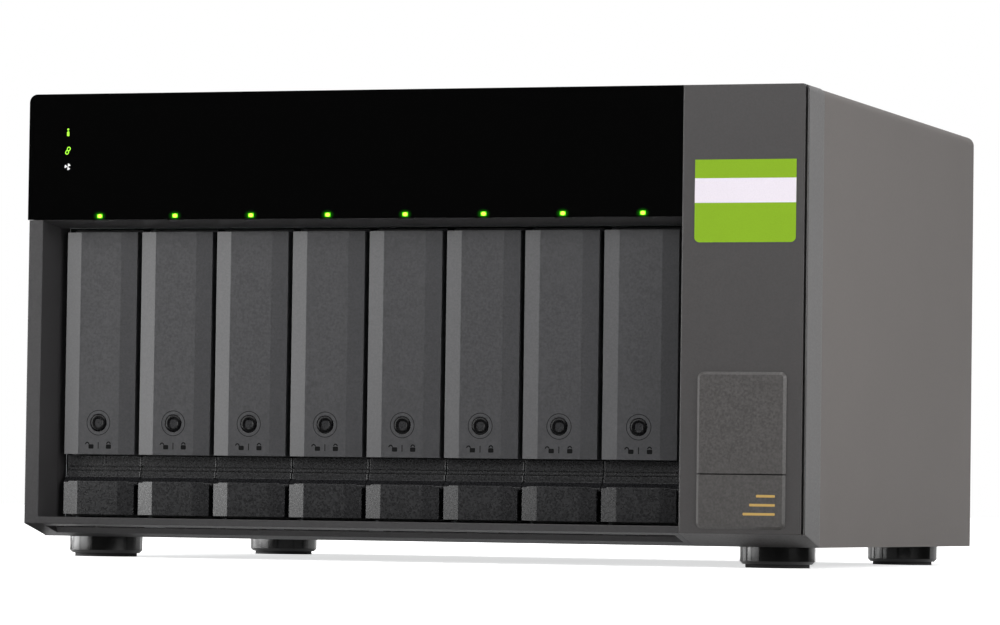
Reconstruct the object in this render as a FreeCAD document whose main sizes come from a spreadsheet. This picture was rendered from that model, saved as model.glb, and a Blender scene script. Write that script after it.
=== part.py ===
"""Eight-bay desktop disk shelf enclosure, built as an assembly of separate pieces.

Frame: millimetres, +Z up, the front faces -Y, +X to the right of a person facing the front.
The origin is the centre of the footprint on the surface that the rubber pads stand on.
"""
import FreeCAD, Part
import os
import re

import Sketcher

TRAYS = 8
FAN_BLADES = 7
SMALL_FAN_BLADES = 5
INTAKE_SLITS = 15

# Driving sizes in millimetres. Depths that end in _back are measured from the plane of the
# front face, heights that end in _level are measured from the ground.
SIZES = {
    # whole enclosure
    "width": 329.3,
    "height": 188.2,
    "depth": 279.6,
    "base_level": 8.2,
    "metal": 1.0,
    "cover_radius": 4.0,
    "slip": 0.15,
    "overcut": 1.0,
    # front frame round the trays
    "bezel_depth": 22.3,
    "bezel_wall": 2.0,
    "bezel_step": 0.75,
    "cheek_width": 6.0,
    "cheek_splay": 2.4,
    "sill_level": 16.0,
    "sill_lip": 2.7,
    "lintel_level": 136.9,
    "lintel_back": 13.5,
    "lintel_drop": 2.7,
    "lintel_height": 4.1,
    "side_bar": 2.6,
    "intake_back": 4.0,
    "intake_run": 12.0,
    "intake_roof_level": 14.0,
    "intake_left_margin": 1.5,
    "intake_right_margin": 2.5,
    "slit_level": 12.0,
    "slit_web": 1.0,
    # gloss display panel
    "panel_wall": 2.5,
    "panel_corner": 3.4,
    # right-hand column with its two plates
    "column_width": 50.85,
    "column_corner": 3.0,
    "reveal_width": 1.0,
    "reveal_depth": 2.2,
    "reveal_lip": 0.6,
    "badge_rise": 1.2,
    "badge_inset": 0.8,
    "badge_bevel": 1.1,
    "badge_width": 35.9,
    "badge_side": 7.05,
    "badge_bottom": 15.05,
    "badge_split": 36.4,
    "badge_top": 76.2,
    "badge_gap": 0.5,
    "badge_corner": 2.5,
    # trays
    "row_margin": 4.13,
    "tray_gap": 2.08,
    "facet_width": 6.575,
    "facet_depth": 1.25,
    "tray_back": 12.6,
    "running_gap": 0.3,
    # handle of a tray
    "handle_bottom": 41.7,
    "handle_top": 132.5,
    "handle_wall": 1.55,
    "handle_rim": 3.9,
    "handle_cheek": 1.5,
    "pivot_down": 3.0,
    "pivot_back": 5.2,
    "pin_radius": 1.1,
    "pin_clearance": 0.06,
    "lug_reach": 2.05,
    "lug_width": 9.0,
    # key lock of a handle
    "lock_level": 54.6,
    "lock_radius": 3.6,
    "lock_clearance": 0.08,
    "lock_sink": 0.3,
    "key_recess": 3.3,
    "key_depth": 1.5,
    "cam_reach": 7.0,
    "cam_width": 4.0,
    "cam_thickness": 1.2,
    # release latch under a handle
    "latch_bottom": 17.2,
    "latch_block_top": 30.8,
    "latch_top": 41.2,
    "latch_wall": 1.8,
    "grip_back": 6.8,
    "grip_groove": 0.8,
    "grip_ridge": 0.9,
    "grip_band": 4.2,
    "grip_line": 0.8,
    "grip_bevel": 0.4,
    "grip_flare": 0.85,
    "scoop_lip": 1.6,
    "scoop_depth": 3.2,
    "scoop_rise": 1.8,
    "latch_depth": 8.2,
    "latch_pivot_level": 21.8,
    "latch_pivot_back": 5.6,
    # tray carrier
    "carrier_inset": 0.525,
    "carrier_wall_back": 21.4,
    "carrier_wall": 2.5,
    "carrier_rail": 2.2,
    "carrier_plate": 1.6,
    "carrier_depth": 175.4,
    "floor_gap": 0.4,
    "drive_back": 28.0,
    "drive_bottom": 24.6,
    "drive_long": 147.0,
    "drive_tall": 101.6,
    "screw_row_start": 41.28,
    "screw_row_pitch": 44.45,
    "screw_rows_apart": 95.25,
    "drive_screw": 1.9,
    "front_window": 36.0,
    "middle_window": 98.0,
    "rear_window": 142.0,
    "window_width": 24.0,
    "window_height": 30.0,
    # drive cage
    "cage_sheet": 1.2,
    "cage_side_gap": 2.6,
    "pan_flange": 14.0,
    "hat_rail_width": 10.0,
    "hat_rail_inset": 12.0,
    "cage_lip": 1.4,
    "guide_rib": 1.4,
    "guide_height": 3.0,
    "guide_inset": 8.0,
    "floor_slot_width": 14.0,
    "floor_slot_setback": 34.0,
    "floor_slot_length": 26.0,
    "roof_front": 24.6,
    # backplane with its connectors
    "board_thickness": 1.6,
    "backplane_gap": 8.6,
    "connector_width": 5.6,
    "connector_height": 42.0,
    "connector_rise": 4.0,
    "vent_width": 12.0,
    "vent_height": 76.0,
    # controller board above the drive cage
    "standoff_height": 6.0,
    "standoff_width": 6.0,
    "standoff_inset": 8.0,
    "board_inset": 6.0,
    "board_short": 40.0,
    "board_setback": 60.0,
    "board_clearance": 1.0,
    "chip_width": 18.0,
    "chip_height": 1.8,
    "capacitor_radius": 4.0,
    "capacitor_height": 10.0,
    "socket_width": 9.4,
    "socket_height": 3.3,
    "socket_length": 8.0,
    "socket_wall": 0.5,
    "socket_proud": 0.4,
    "housing_depth": 12.0,
    "housing_gap": 1.2,
    "housing_margin": 8.0,
    "well_depth": 5.0,
    "switch_level": 159.0,
    "button_radius": 5.0,
    "button_stem": 2.0,
    "button_proud": 1.3,
    "slider_width": 4.0,
    "slider_height": 3.0,
    "slider_travel": 5.0,
    "slider_proud": 0.9,
    # rear wall, fans and power supply
    "rear_inset": 1.6,
    "panel_lap": 1.5,
    "lock_slot_width": 7.0,
    "lock_slot_height": 3.2,
    "lock_slot_inset": 23.0,
    "fan_width": 120.0,
    "fan_depth": 25.0,
    "fan_bore": 57.2,
    "fan_corner_radius": 5.0,
    "fan_mount": 3.0,
    "fan_arm": 4.0,
    "fan_level": 75.0,
    "fan_gap": 6.0,
    "hub_radius": 20.0,
    "spindle_radius": 1.5,
    "spindle_clearance": 0.06,
    "blade_tip": 54.8,
    "blade_skin": 1.4,
    "blade_inset": 0.8,
    "hub_cap": 2.0,
    "guard_wire": 1.6,
    "guard_lap": 3.0,
    "supply_width": 40.5,
    "supply_length": 150.0,
    "supply_height": 81.5,
    "supply_fan_bore": 18.0,
    "supply_fan_level": 64.0,
    "supply_hub": 7.5,
    "supply_well": 12.0,
    "inlet_level": 27.0,
    "inlet_width": 27.0,
    "inlet_height": 19.6,
    "inlet_depth": 20.0,
    "inlet_flange": 1.6,
    "inlet_wall": 2.0,
    "inlet_corner": 5.0,
    # light pipes
    "light_width": 2.4,
    "light_height": 1.6,
    "light_rise": 1.4,
    "light_aside": 4.4,
    "light_notch": 7.2,
    "notch_height": 1.1,
    # feet
    "foot_radius": 15.0,
    "foot_side": 21.1,
    "foot_end_distance": 37.5,
    "foot_edge_radius": 1.2,
    "pad_radius": 12.7,
    "pad_proud": 1.4,
}

# Places worked out from the driving sizes.
FRONT = "(badge_rise - depth/2)"
REAR = "(depth/2)"
LEFT = "(-width/2)"
RIGHT = "(width/2)"
COLUMN_LEFT = f"({RIGHT} - column_width)"
BEZEL_LEFT = f"({LEFT} + bezel_step)"
OPENING_LEFT = f"({BEZEL_LEFT} + cheek_width)"
ROW_CENTRE = f"(({OPENING_LEFT} + {COLUMN_LEFT})/2)"
CAGE_LEFT = f"({OPENING_LEFT} + cage_side_gap)"
CAGE_RIGHT = f"({COLUMN_LEFT} - cage_side_gap)"
REAR_FACE = f"({REAR} - rear_inset)"
REAR_INNER = f"({REAR_FACE} - metal)"
ROOF_LEVEL = "(lintel_level - lintel_drop + 0.4)"
BOARD_LEVEL = f"({ROOF_LEVEL} + cage_sheet + standoff_height)"
SUPPLY_CENTRE = f"({RIGHT} - column_width/2)"
BADGE_LEFT = f"({COLUMN_LEFT} + badge_side)"
PIVOT_LEVEL = "(handle_top - pivot_down)"
CARRIER_BOTTOM = "(sill_level + floor_gap)"
CARRIER_TOP = "(lintel_level - lintel_drop - floor_gap)"
TRAY_PITCH = f"(({COLUMN_LEFT} - {OPENING_LEFT} - 2*row_margin)/{TRAYS})"
TRAY_WIDTH = f"({TRAY_PITCH} - tray_gap)"
CARRIER_WIDTH = f"({TRAY_WIDTH} - 2*carrier_inset)"
CARRIER_LEFT = f"(-{CARRIER_WIDTH}/2)"
CARRIER_RIGHT = f"({CARRIER_WIDTH}/2)"
BACKPLANE_BACK = "(carrier_depth + backplane_gap)"
CAGE_DEPTH = f"({BACKPLANE_BACK} + board_thickness + cage_lip)"

WORDS = re.compile(r"\b(" + "|".join(SIZES) + r")\b")


def back(depth):
    """Y of a place a given depth behind the front plane."""
    return f"({FRONT} + {depth})"


def linked(expression):
    """The same expression with each size named as a cell of the sheet."""
    return WORDS.sub(r"sizes.\1", str(expression))


def make_sheet(doc):
    """Spreadsheet that holds every driving size under its own name."""
    sheet = doc.addObject("Spreadsheet::Sheet", "sizes")
    for row, (name, size) in enumerate(SIZES.items(), start=1):
        sheet.set(f"A{row}", name)
        sheet.set(f"B{row}", str(size))
        sheet.setAlias(f"B{row}", name)
    doc.recompute()
    return sheet


doc = FreeCAD.newDocument("DiskShelfEnclosure")
sheet = make_sheet(doc)


def value(expression):
    """Number that an expression of sizes gives now."""
    result = sheet.evalExpression(linked(expression))
    return float(getattr(result, "Value", result))


def bind(thing, prop, expression):
    """Ties a property of an object to the sheet."""
    thing.setExpression(prop, linked(expression))


def place(thing, x="0", y="0", z="0"):
    """Ties an object's position to the sheet."""
    for letter, expression in zip("xyz", (x, y, z)):
        bind(thing, f"Placement.Base.{letter}", expression)


# ---------------------------------------------------------------- sketches and features

PLANES = {"XY": "XY_Plane", "XZ": "XZ_Plane", "YZ": "YZ_Plane"}
AXES = {"X": "X_Axis", "Y": "Y_Axis", "Z": "Z_Axis"}


def origin_feature(body, role):
    """Origin plane or axis of a body."""
    return next(item for item in body.Origin.OriginFeatures if item.Role == role)


def new_body(name):
    """Empty body whose label is the name of its piece."""
    body = doc.addObject("PartDesign::Body", name)
    body.Label = name
    return body


def sketch_on(body, name, plane, offset):
    """Sketch on an origin plane of a body, moved along the plane's normal."""
    sketch = body.newObject("Sketcher::SketchObject", name)
    sketch.AttachmentSupport = [(origin_feature(body, PLANES[plane]), "")]
    sketch.MapMode = "FlatFace"
    bind(sketch, "AttachmentOffset.Base.z", offset)
    return sketch


def fix_point(sketch, geometry, vertex, x, y):
    """Ties a point of a sketch to the sheet."""
    for kind, expression in (("DistanceX", x), ("DistanceY", y)):
        number = sketch.addConstraint(
            Sketcher.Constraint(kind, -1, 1, geometry, vertex, value(expression))
        )
        sketch.setExpression(f"Constraints[{number}]", linked(expression))


def draw_outline(sketch, points):
    """Closed outline of straight edges through points given as expressions."""
    corners = [FreeCAD.Vector(value(x), value(y), 0) for x, y in points]
    first = sketch.GeometryCount
    count = len(points)
    for index in range(count):
        sketch.addGeometry(Part.LineSegment(corners[index], corners[(index + 1) % count]))
    for index in range(count):
        following = first + (index + 1) % count
        sketch.addConstraint(Sketcher.Constraint("Coincident", first + index, 2, following, 1))
    for index, (x, y) in enumerate(points):
        fix_point(sketch, first + index, 1, x, y)


def draw_circle(sketch, x, y, radius):
    """Circle whose centre and radius are expressions."""
    centre = FreeCAD.Vector(value(x), value(y), 0)
    circle = Part.Circle(centre, FreeCAD.Vector(0, 0, 1), value(radius))
    geometry = sketch.addGeometry(circle)
    fix_point(sketch, geometry, 3, x, y)
    number = sketch.addConstraint(Sketcher.Constraint("Radius", geometry, value(radius)))
    sketch.setExpression(f"Constraints[{number}]", linked(radius))


def rectangle(x_low, x_high, y_low, y_high):
    """Outline of a rectangle."""
    return [(x_low, y_low), (x_high, y_low), (x_high, y_high), (x_low, y_high)]


def draw(sketch, loops):
    """Draws each loop: a list of points, or a circle as (x, y, radius)."""
    for loop in loops:
        if isinstance(loop, tuple):
            draw_circle(sketch, *loop)
        else:
            draw_outline(sketch, loop)


def pad(body, name, plane, loops, start, length):
    """Solid that runs from start along +X, +Y or +Z, whichever the plane leaves out."""
    offset = f"-({start} + {length})" if plane == "XZ" else start
    sketch = sketch_on(body, f"{name}_outline", plane, offset)
    draw(sketch, loops)
    feature = body.newObject("PartDesign::Pad", name)
    feature.Profile = sketch
    bind(feature, "Length", length)
    sketch.Visibility = False
    return feature


def pocket(body, name, plane, loops, start, length):
    """Cut over the same stretch that a pad with these values would fill."""
    offset = f"-({start})" if plane == "XZ" else f"{start} + {length}"
    sketch = sketch_on(body, f"{name}_outline", plane, offset)
    draw(sketch, loops)
    doc.recompute()
    before = body.Shape.Volume
    feature = body.newObject("PartDesign::Pocket", name)
    feature.Profile = sketch
    bind(feature, "Length", length)
    sketch.Visibility = False
    doc.recompute()
    if not body.Shape.Volume < before:
        raise RuntimeError(f"{body.Name}: {name} cuts nothing")
    return feature


def repeat(body, name, features, axis, pitch, count):
    """Row of copies of some features along an axis."""
    row = body.newObject("PartDesign::LinearPattern", name)
    row.Originals = features
    row.Direction = (origin_feature(body, AXES[axis]), [""])
    row.Occurrences = count
    bind(row, "Length", f"{count - 1}*({pitch})")
    body.Tip = row
    return row


def repeat_round(body, name, features, axis, count):
    """Ring of copies of some features about an axis."""
    ring = body.newObject("PartDesign::PolarPattern", name)
    ring.Originals = features
    ring.Axis = (origin_feature(body, AXES[axis]), [""])
    ring.Angle = 360
    ring.Occurrences = count
    body.Tip = ring
    return ring


CLOSE = 0.001


def straight_edges(shape, axis, places):
    """Names of the edges along an axis that pass through places in the plane across it."""
    along = "XYZ".index(axis)
    across = [index for index in range(3) if index != along]
    targets = [(value(first), value(second)) for first, second in places]
    names = []
    for number, edge in enumerate(shape.Edges, start=1):
        if len(edge.Vertexes) != 2:
            continue
        start, end = (vertex.Point for vertex in edge.Vertexes)
        if abs(start[along] - end[along]) < CLOSE:
            continue
        if any(abs(start[index] - end[index]) > CLOSE for index in across):
            continue
        for target in targets:
            if all(abs(start[index] - goal) < 10*CLOSE for index, goal in zip(across, target)):
                names.append(f"Edge{number}")
                break
    if not names:
        raise RuntimeError(f"no edge along {axis} at {places}")
    return names


def dress(body, name, kind, size_name, axis, places, size):
    """Fillet or chamfer of the straight edges along an axis at given places."""
    doc.recompute()
    base = body.Tip
    names = straight_edges(base.Shape, axis, places)
    feature = body.newObject(f"PartDesign::{kind}", name)
    feature.Base = (base, names)
    bind(feature, size_name, size)
    doc.recompute()
    return feature


def fillet(body, name, axis, places, radius):
    """Rounds straight edges along an axis."""
    return dress(body, name, "Fillet", "Radius", axis, places, radius)


def chamfer(body, name, axis, places, size):
    """Bevels straight edges along an axis."""
    return dress(body, name, "Chamfer", "Size", axis, places, size)


def bevel_face(body, name, level, spare, size):
    """Bevels the rim of the face that lies furthest forward, except its edge at one height."""
    doc.recompute()
    base = body.Tip
    front = value(level)
    kept = value(spare)
    names = []
    for number, edge in enumerate(base.Shape.Edges, start=1):
        if any(abs(vertex.Point.y - front) > CLOSE for vertex in edge.Vertexes):
            continue
        if all(abs(vertex.Point.z - kept) < CLOSE for vertex in edge.Vertexes):
            continue
        names.append(f"Edge{number}")
    feature = body.newObject("PartDesign::Chamfer", name)
    feature.Base = (base, names)
    bind(feature, "Size", size)
    doc.recompute()
    return feature


def copy_of(source, name, x="0", y="0", z="0"):
    """Placed copy of another object's shape."""
    copy = doc.addObject("Part::Compound", name)
    copy.Label = name
    copy.Links = [source]
    place(copy, x, y, z)
    return copy


def group_of(name, sources):
    """One piece made of several like solids."""
    group = doc.addObject("Part::Compound", name)
    group.Label = name
    group.Links = sources
    return group


# ---------------------------------------------------------------- front of the enclosure

def light_place(index):
    """X of the light pipe of a tray."""
    return f"({tray_place(index)} + light_aside)"


def tray_place(index):
    """X of the centre of a tray, counted from 0 at the left."""
    return f"({ROW_CENTRE} + {index - (TRAYS - 1) / 2}*{TRAY_PITCH})"


LIGHT_LEVEL = "(lintel_level + light_rise)"
BEZEL_RIGHT = f"({COLUMN_LEFT} - slip)"
UPPER_LEFT = f"({LEFT} + panel_wall + slip)"


def build_bezel():
    """Moulded frame round the trays: sill with air intake, left cheek, lintel, backing wall."""
    body = new_body("front_bezel")
    sill = [
        (back("0"), "sill_level - sill_lip"),
        (back("0"), "sill_level"),
        (back("bezel_depth"), "sill_level"),
        (back("bezel_depth"), "base_level"),
    ]
    pad(body, "sill", "YZ", [sill], BEZEL_LEFT, f"{BEZEL_RIGHT} - {BEZEL_LEFT}")
    cheek = [
        (BEZEL_LEFT, back("0")),
        (OPENING_LEFT, back("0")),
        (f"{OPENING_LEFT} + cheek_splay", back("tray_back")),
        (f"{OPENING_LEFT} + cheek_splay", back("bezel_depth")),
        (BEZEL_LEFT, back("bezel_depth")),
    ]
    pad(body, "cheek", "XY", [cheek], "sill_level", "lintel_level - slip - sill_level")
    lintel_top = "lintel_level + lintel_height"
    lintel = [
        (back("slip"), "lintel_level - slip"),
        (back("lintel_back"), "lintel_level - lintel_drop"),
        (back("lintel_back"), f"{lintel_top} - bezel_wall"),
        (back("bezel_depth"), f"{lintel_top} - bezel_wall"),
        (back("bezel_depth"), lintel_top),
        (back("panel_wall"), lintel_top),
        (back("panel_wall"), "lintel_level - slip"),
    ]
    pad(body, "lintel", "YZ", [lintel], UPPER_LEFT, f"{BEZEL_RIGHT} - {UPPER_LEFT}")
    bar = rectangle(f"{BEZEL_RIGHT} - side_bar", BEZEL_RIGHT, "sill_level", lintel_top)
    pad(body, "side_bar_post", "XZ", [bar], back("bezel_depth - bezel_wall"), "bezel_wall")
    upper = rectangle(UPPER_LEFT, BEZEL_RIGHT, lintel_top, "height - panel_wall - slip")
    pad(body, "backing_wall", "XZ", [upper], back("lintel_back - bezel_wall"), "bezel_wall")
    top_rim = rectangle(
        UPPER_LEFT, BEZEL_RIGHT, "height - panel_wall - slip - bezel_wall", "height - panel_wall - slip"
    )
    pad(body, "top_rim", "XZ", [top_rim], back("lintel_back"), "bezel_depth - lintel_back")
    left_rim = rectangle(UPPER_LEFT, f"{UPPER_LEFT} + bezel_wall", lintel_top, "height - panel_wall - slip")
    pad(body, "left_rim", "XZ", [left_rim], back("lintel_back"), "bezel_depth - lintel_back")
    fillet(
        body, "rim_corner", "Y", [(UPPER_LEFT, "height - panel_wall - slip")], "panel_corner - panel_wall"
    )
    channel = rectangle(
        back("intake_back"), back("intake_back + intake_run"), "base_level - overcut", "intake_roof_level"
    )
    channel_left = f"({OPENING_LEFT} + intake_left_margin)"
    channel_length = f"{BEZEL_RIGHT} - intake_right_margin - {channel_left}"
    pocket(body, "intake_channel", "YZ", [channel], channel_left, channel_length)
    slit_pitch = f"(({channel_length})/{INTAKE_SLITS})"
    slit = rectangle(
        f"{channel_left} + slit_web/2",
        f"{channel_left} + {slit_pitch} - slit_web/2",
        "slit_level",
        "intake_roof_level",
    )
    slit_start = back("intake_back + intake_run/2")
    slit_cut = pocket(body, "intake_slit", "XZ", [slit], slit_start, "bezel_depth")
    repeat(body, "intake_slits", [slit_cut], "X", slit_pitch, INTAKE_SLITS)
    notch = rectangle(
        f"{light_place(0)} - light_notch/2",
        f"{light_place(0)} + light_notch/2",
        "lintel_level - notch_height",
        "lintel_level",
    )
    notch_start = back("-overcut")
    notch_cut = pocket(body, "light_notch_cut", "XZ", [notch], notch_start, "overcut + panel_wall - slip")
    repeat(body, "light_notches", [notch_cut], "X", TRAY_PITCH, TRAYS)
    return body


def light_outline(clearance):
    """Outline of the light pipe of the first tray, grown by a clearance."""
    half_wide = f"(light_width/2 + {clearance})"
    half_high = f"(light_height/2 + {clearance})"
    return rectangle(
        f"{light_place(0)} - {half_wide}",
        f"{light_place(0)} + {half_wide}",
        f"{LIGHT_LEVEL} - {half_high}",
        f"{LIGHT_LEVEL} + {half_high}",
    )


def build_display_panel():
    """Gloss panel over the trays that wraps round the top left corner."""
    body = new_body("display_panel")
    face = rectangle(LEFT, BEZEL_RIGHT, "lintel_level", "height")
    pad(body, "face", "XZ", [face], FRONT, "bezel_depth")
    fillet(body, "outer_corner", "Y", [(LEFT, "height")], "panel_corner")
    hollow = rectangle(
        f"{LEFT} + panel_wall", f"{BEZEL_RIGHT} + overcut", "lintel_level - overcut", "height - panel_wall"
    )
    pocket(body, "hollow", "XZ", [hollow], back("panel_wall"), "bezel_depth")
    corner = [(f"{LEFT} + panel_wall", "height - panel_wall")]
    fillet(body, "inner_corner", "Y", corner, "panel_corner - panel_wall")
    hole = [light_outline("slip/2")]
    window = pocket(body, "light_window", "XZ", hole, back("-overcut"), "panel_wall + 2*overcut")
    repeat(body, "light_windows", [window], "X", TRAY_PITCH, TRAYS)
    return body


def build_drive_lights():
    """Light pipes, one for each tray, that end in the gloss panel."""
    body = new_body("drive_lights")
    bar = pad(body, "bar", "XZ", [light_outline("0")], back("slip"), "panel_wall - slip")
    repeat(body, "bars", [bar], "X", TRAY_PITCH, TRAYS)
    return body


def bevel_cut():
    """Section of what the sloping underside of the front takes away."""
    lip = "(sill_level - sill_lip)"
    return [
        (back("-overcut"), "base_level - overcut"),
        (back("-overcut"), f"{lip} + overcut*({lip} - base_level)/bezel_depth"),
        (back("bezel_depth"), "base_level"),
        (back("bezel_depth"), "base_level - overcut"),
    ]


def build_column():
    """Moulded column at the right with a reveal beside its face and a bevel under it."""
    body = new_body("right_column")
    block = rectangle(COLUMN_LEFT, RIGHT, "base_level", "height")
    pad(body, "block", "XZ", [block], FRONT, "bezel_depth")
    fillet(body, "top_corner", "Y", [(RIGHT, "height")], "column_corner")
    hollow = rectangle(
        f"{COLUMN_LEFT} + bezel_wall",
        f"{RIGHT} - bezel_wall",
        "sill_level + bezel_wall/2",
        "height - bezel_wall",
    )
    hollow_start = back("reveal_depth + bezel_wall")
    pocket(body, "hollow", "XZ", [hollow], hollow_start, "bezel_depth")
    pocket(body, "bevel", "YZ", [bevel_cut()], f"{COLUMN_LEFT} - overcut", "column_width + 2*overcut")
    reveal = rectangle(
        f"{RIGHT} - reveal_lip - reveal_width",
        f"{RIGHT} - reveal_lip",
        "sill_level - sill_lip + slip",
        "height + overcut",
    )
    pocket(body, "reveal", "XZ", [reveal], back("-overcut"), "reveal_depth + overcut")
    seat = rectangle(
        f"{BADGE_LEFT} + badge_bevel",
        f"{BADGE_LEFT} + badge_width - badge_bevel",
        "badge_bottom + badge_bevel",
        "badge_top - badge_bevel",
    )
    pocket(body, "plate_seat", "XZ", [seat], back("-overcut"), "badge_inset + overcut")
    return body


def build_plate(name, bottom, top, rounded, split):
    """Snap-in plate on the column: a pad bevelled except along the split, with a rib that seats."""
    body = new_body(name)
    right = f"({BADGE_LEFT} + badge_width)"
    face = rectangle(BADGE_LEFT, right, bottom, top)
    pad(body, "face", "XZ", [face], back("-badge_rise"), "badge_rise")
    fillet(body, "corners", "Y", [(BADGE_LEFT, rounded), (right, rounded)], "badge_corner")
    bevel_face(body, "rim_bevel", back("-badge_rise"), split, "badge_bevel")
    rib_low = f"{bottom} + badge_bevel + slip"
    rib_high = f"{top} - badge_bevel - slip"
    rib = rectangle(
        f"{BADGE_LEFT} + badge_bevel + slip", f"{right} - badge_bevel - slip", rib_low, rib_high
    )
    pad(body, "seat_rib", "XZ", [rib], FRONT, "badge_inset")
    return body


# ---------------------------------------------------------------- metal case and drive cage

CASE_FRONT = back("bezel_depth")
COVER_BOTTOM = "base_level"
PAN_SIDE = f"({RIGHT} - metal - slip)"


def build_cover():
    """Bent steel cover: two sides and the top in one sheet."""
    body = new_body("metal_cover")
    length = f"{REAR} - {CASE_FRONT}"
    outer = rectangle(LEFT, RIGHT, COVER_BOTTOM, "height")
    pad(body, "outer", "XZ", [outer], CASE_FRONT, length)
    inner = rectangle(f"{LEFT} + metal", f"{RIGHT} - metal", f"{COVER_BOTTOM} - overcut", "height - metal")
    pocket(body, "inner", "XZ", [inner], f"{CASE_FRONT} - overcut", f"{length} + 2*overcut")
    bends = [(f"{LEFT} + metal", "height - metal"), (f"{RIGHT} - metal", "height - metal")]
    fillet(body, "inner_bends", "Y", bends, "cover_radius - metal")
    fillet(body, "outer_bends", "Y", [(LEFT, "height"), (RIGHT, "height")], "cover_radius")
    return body


def build_base_pan():
    """Steel pan under the cage with side flanges and three hat rails."""
    body = new_body("base_pan")
    length = f"{REAR_INNER} - {CASE_FRONT}"
    flange = "base_level + pan_flange"
    section = [
        (f"-{PAN_SIDE}", "base_level"),
        (PAN_SIDE, "base_level"),
        (PAN_SIDE, flange),
        (f"{PAN_SIDE} - metal", flange),
        (f"{PAN_SIDE} - metal", "base_level + metal"),
        (f"-{PAN_SIDE} + metal", "base_level + metal"),
        (f"-{PAN_SIDE} + metal", flange),
        (f"-{PAN_SIDE}", flange),
    ]
    pad(body, "pan", "XZ", [section], CASE_FRONT, length)
    rail_left = f"({ROW_CENTRE} - 3*{TRAY_PITCH})"
    rail = rectangle(
        f"{rail_left} - hat_rail_width/2", f"{rail_left} + hat_rail_width/2", "base_level + metal",
        "sill_level - cage_sheet",
    )
    rail_length = f"{CAGE_DEPTH} - bezel_depth - 2.5*hat_rail_inset"
    hat = pad(body, "hat_rail", "XZ", [rail], f"{CASE_FRONT} + hat_rail_inset", rail_length)
    repeat(body, "hat_rails", [hat], "X", f"3*{TRAY_PITCH}", 3)
    return body


GUIDE_START = back("bezel_depth + guide_inset")
GUIDE_LENGTH = f"({BACKPLANE_BACK} - bezel_depth - 1.5*guide_inset)"


def build_cage():
    """U-shaped drive cage with a guide rib on its floor between each pair of trays."""
    body = new_body("drive_cage")
    wall_top = ROOF_LEVEL
    section = [
        (f"{CAGE_LEFT} - cage_sheet", "sill_level - cage_sheet"),
        (f"{CAGE_RIGHT} + cage_sheet", "sill_level - cage_sheet"),
        (f"{CAGE_RIGHT} + cage_sheet", wall_top),
        (CAGE_RIGHT, wall_top),
        (CAGE_RIGHT, "sill_level"),
        (CAGE_LEFT, "sill_level"),
        (CAGE_LEFT, wall_top),
        (f"{CAGE_LEFT} - cage_sheet", wall_top),
    ]
    start = f"({CASE_FRONT} + slip)"
    pad(body, "shell", "XZ", [section], start, f"{back(CAGE_DEPTH)} - {start}")
    rib_place = f"({ROW_CENTRE} - {TRAYS / 2}*{TRAY_PITCH})"
    rib = rectangle(
        f"{rib_place} - guide_rib/2", f"{rib_place} + guide_rib/2", "sill_level - cage_sheet/2",
        "sill_level + guide_height",
    )
    guide = pad(body, "guide", "XZ", [rib], GUIDE_START, GUIDE_LENGTH)
    repeat(body, "guides", [guide], "X", TRAY_PITCH, TRAYS + 1)
    slot = rectangle(
        f"{tray_place(0)} - floor_slot_width/2", f"{tray_place(0)} + floor_slot_width/2",
        back("floor_slot_setback"), back("floor_slot_setback + floor_slot_length"),
    )
    air = pocket(body, "air_slot", "XY", [slot], "sill_level - 2*cage_sheet", "3*cage_sheet")
    repeat(body, "air_slots", [air], "X", TRAY_PITCH, TRAYS)
    return body


def build_cage_roof():
    """Roof of the drive cage with the upper guide ribs."""
    body = new_body("cage_roof")
    sheet_outline = rectangle(
        f"{CAGE_LEFT} - cage_sheet", f"{CAGE_RIGHT} + cage_sheet", ROOF_LEVEL, f"{ROOF_LEVEL} + cage_sheet"
    )
    pad(body, "roof", "XZ", [sheet_outline], back("roof_front"), f"{CAGE_DEPTH} - roof_front")
    rib_place = f"({ROW_CENTRE} - {TRAYS / 2}*{TRAY_PITCH})"
    rib = rectangle(
        f"{rib_place} - guide_rib/2", f"{rib_place} + guide_rib/2", f"{ROOF_LEVEL} - guide_height",
        f"{ROOF_LEVEL} + cage_sheet/2",
    )
    guide = pad(body, "guide", "XZ", [rib], GUIDE_START, GUIDE_LENGTH)
    repeat(body, "guides", [guide], "X", TRAY_PITCH, TRAYS + 1)
    return body


def build_backplane():
    """Circuit board across the back of the cage with air slots between the connectors."""
    body = new_body("backplane")
    board = rectangle(f"{CAGE_LEFT} + slip", f"{CAGE_RIGHT} - slip", "sill_level", ROOF_LEVEL)
    pad(body, "board", "XZ", [board], back(BACKPLANE_BACK), "board_thickness")
    first = f"({ROW_CENTRE} - {TRAYS / 2 - 1}*{TRAY_PITCH})"
    middle = f"((sill_level + {ROOF_LEVEL})/2)"
    vent = rectangle(
        f"{first} - vent_width/2", f"{first} + vent_width/2", f"{middle} - vent_height/2",
        f"{middle} + vent_height/2",
    )
    vent_start = back(f"{BACKPLANE_BACK} - overcut")
    cut = pocket(body, "air_slot", "XZ", [vent], vent_start, "board_thickness + 2*overcut")
    repeat(body, "air_slots", [cut], "X", TRAY_PITCH, TRAYS - 1)
    return body


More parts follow.
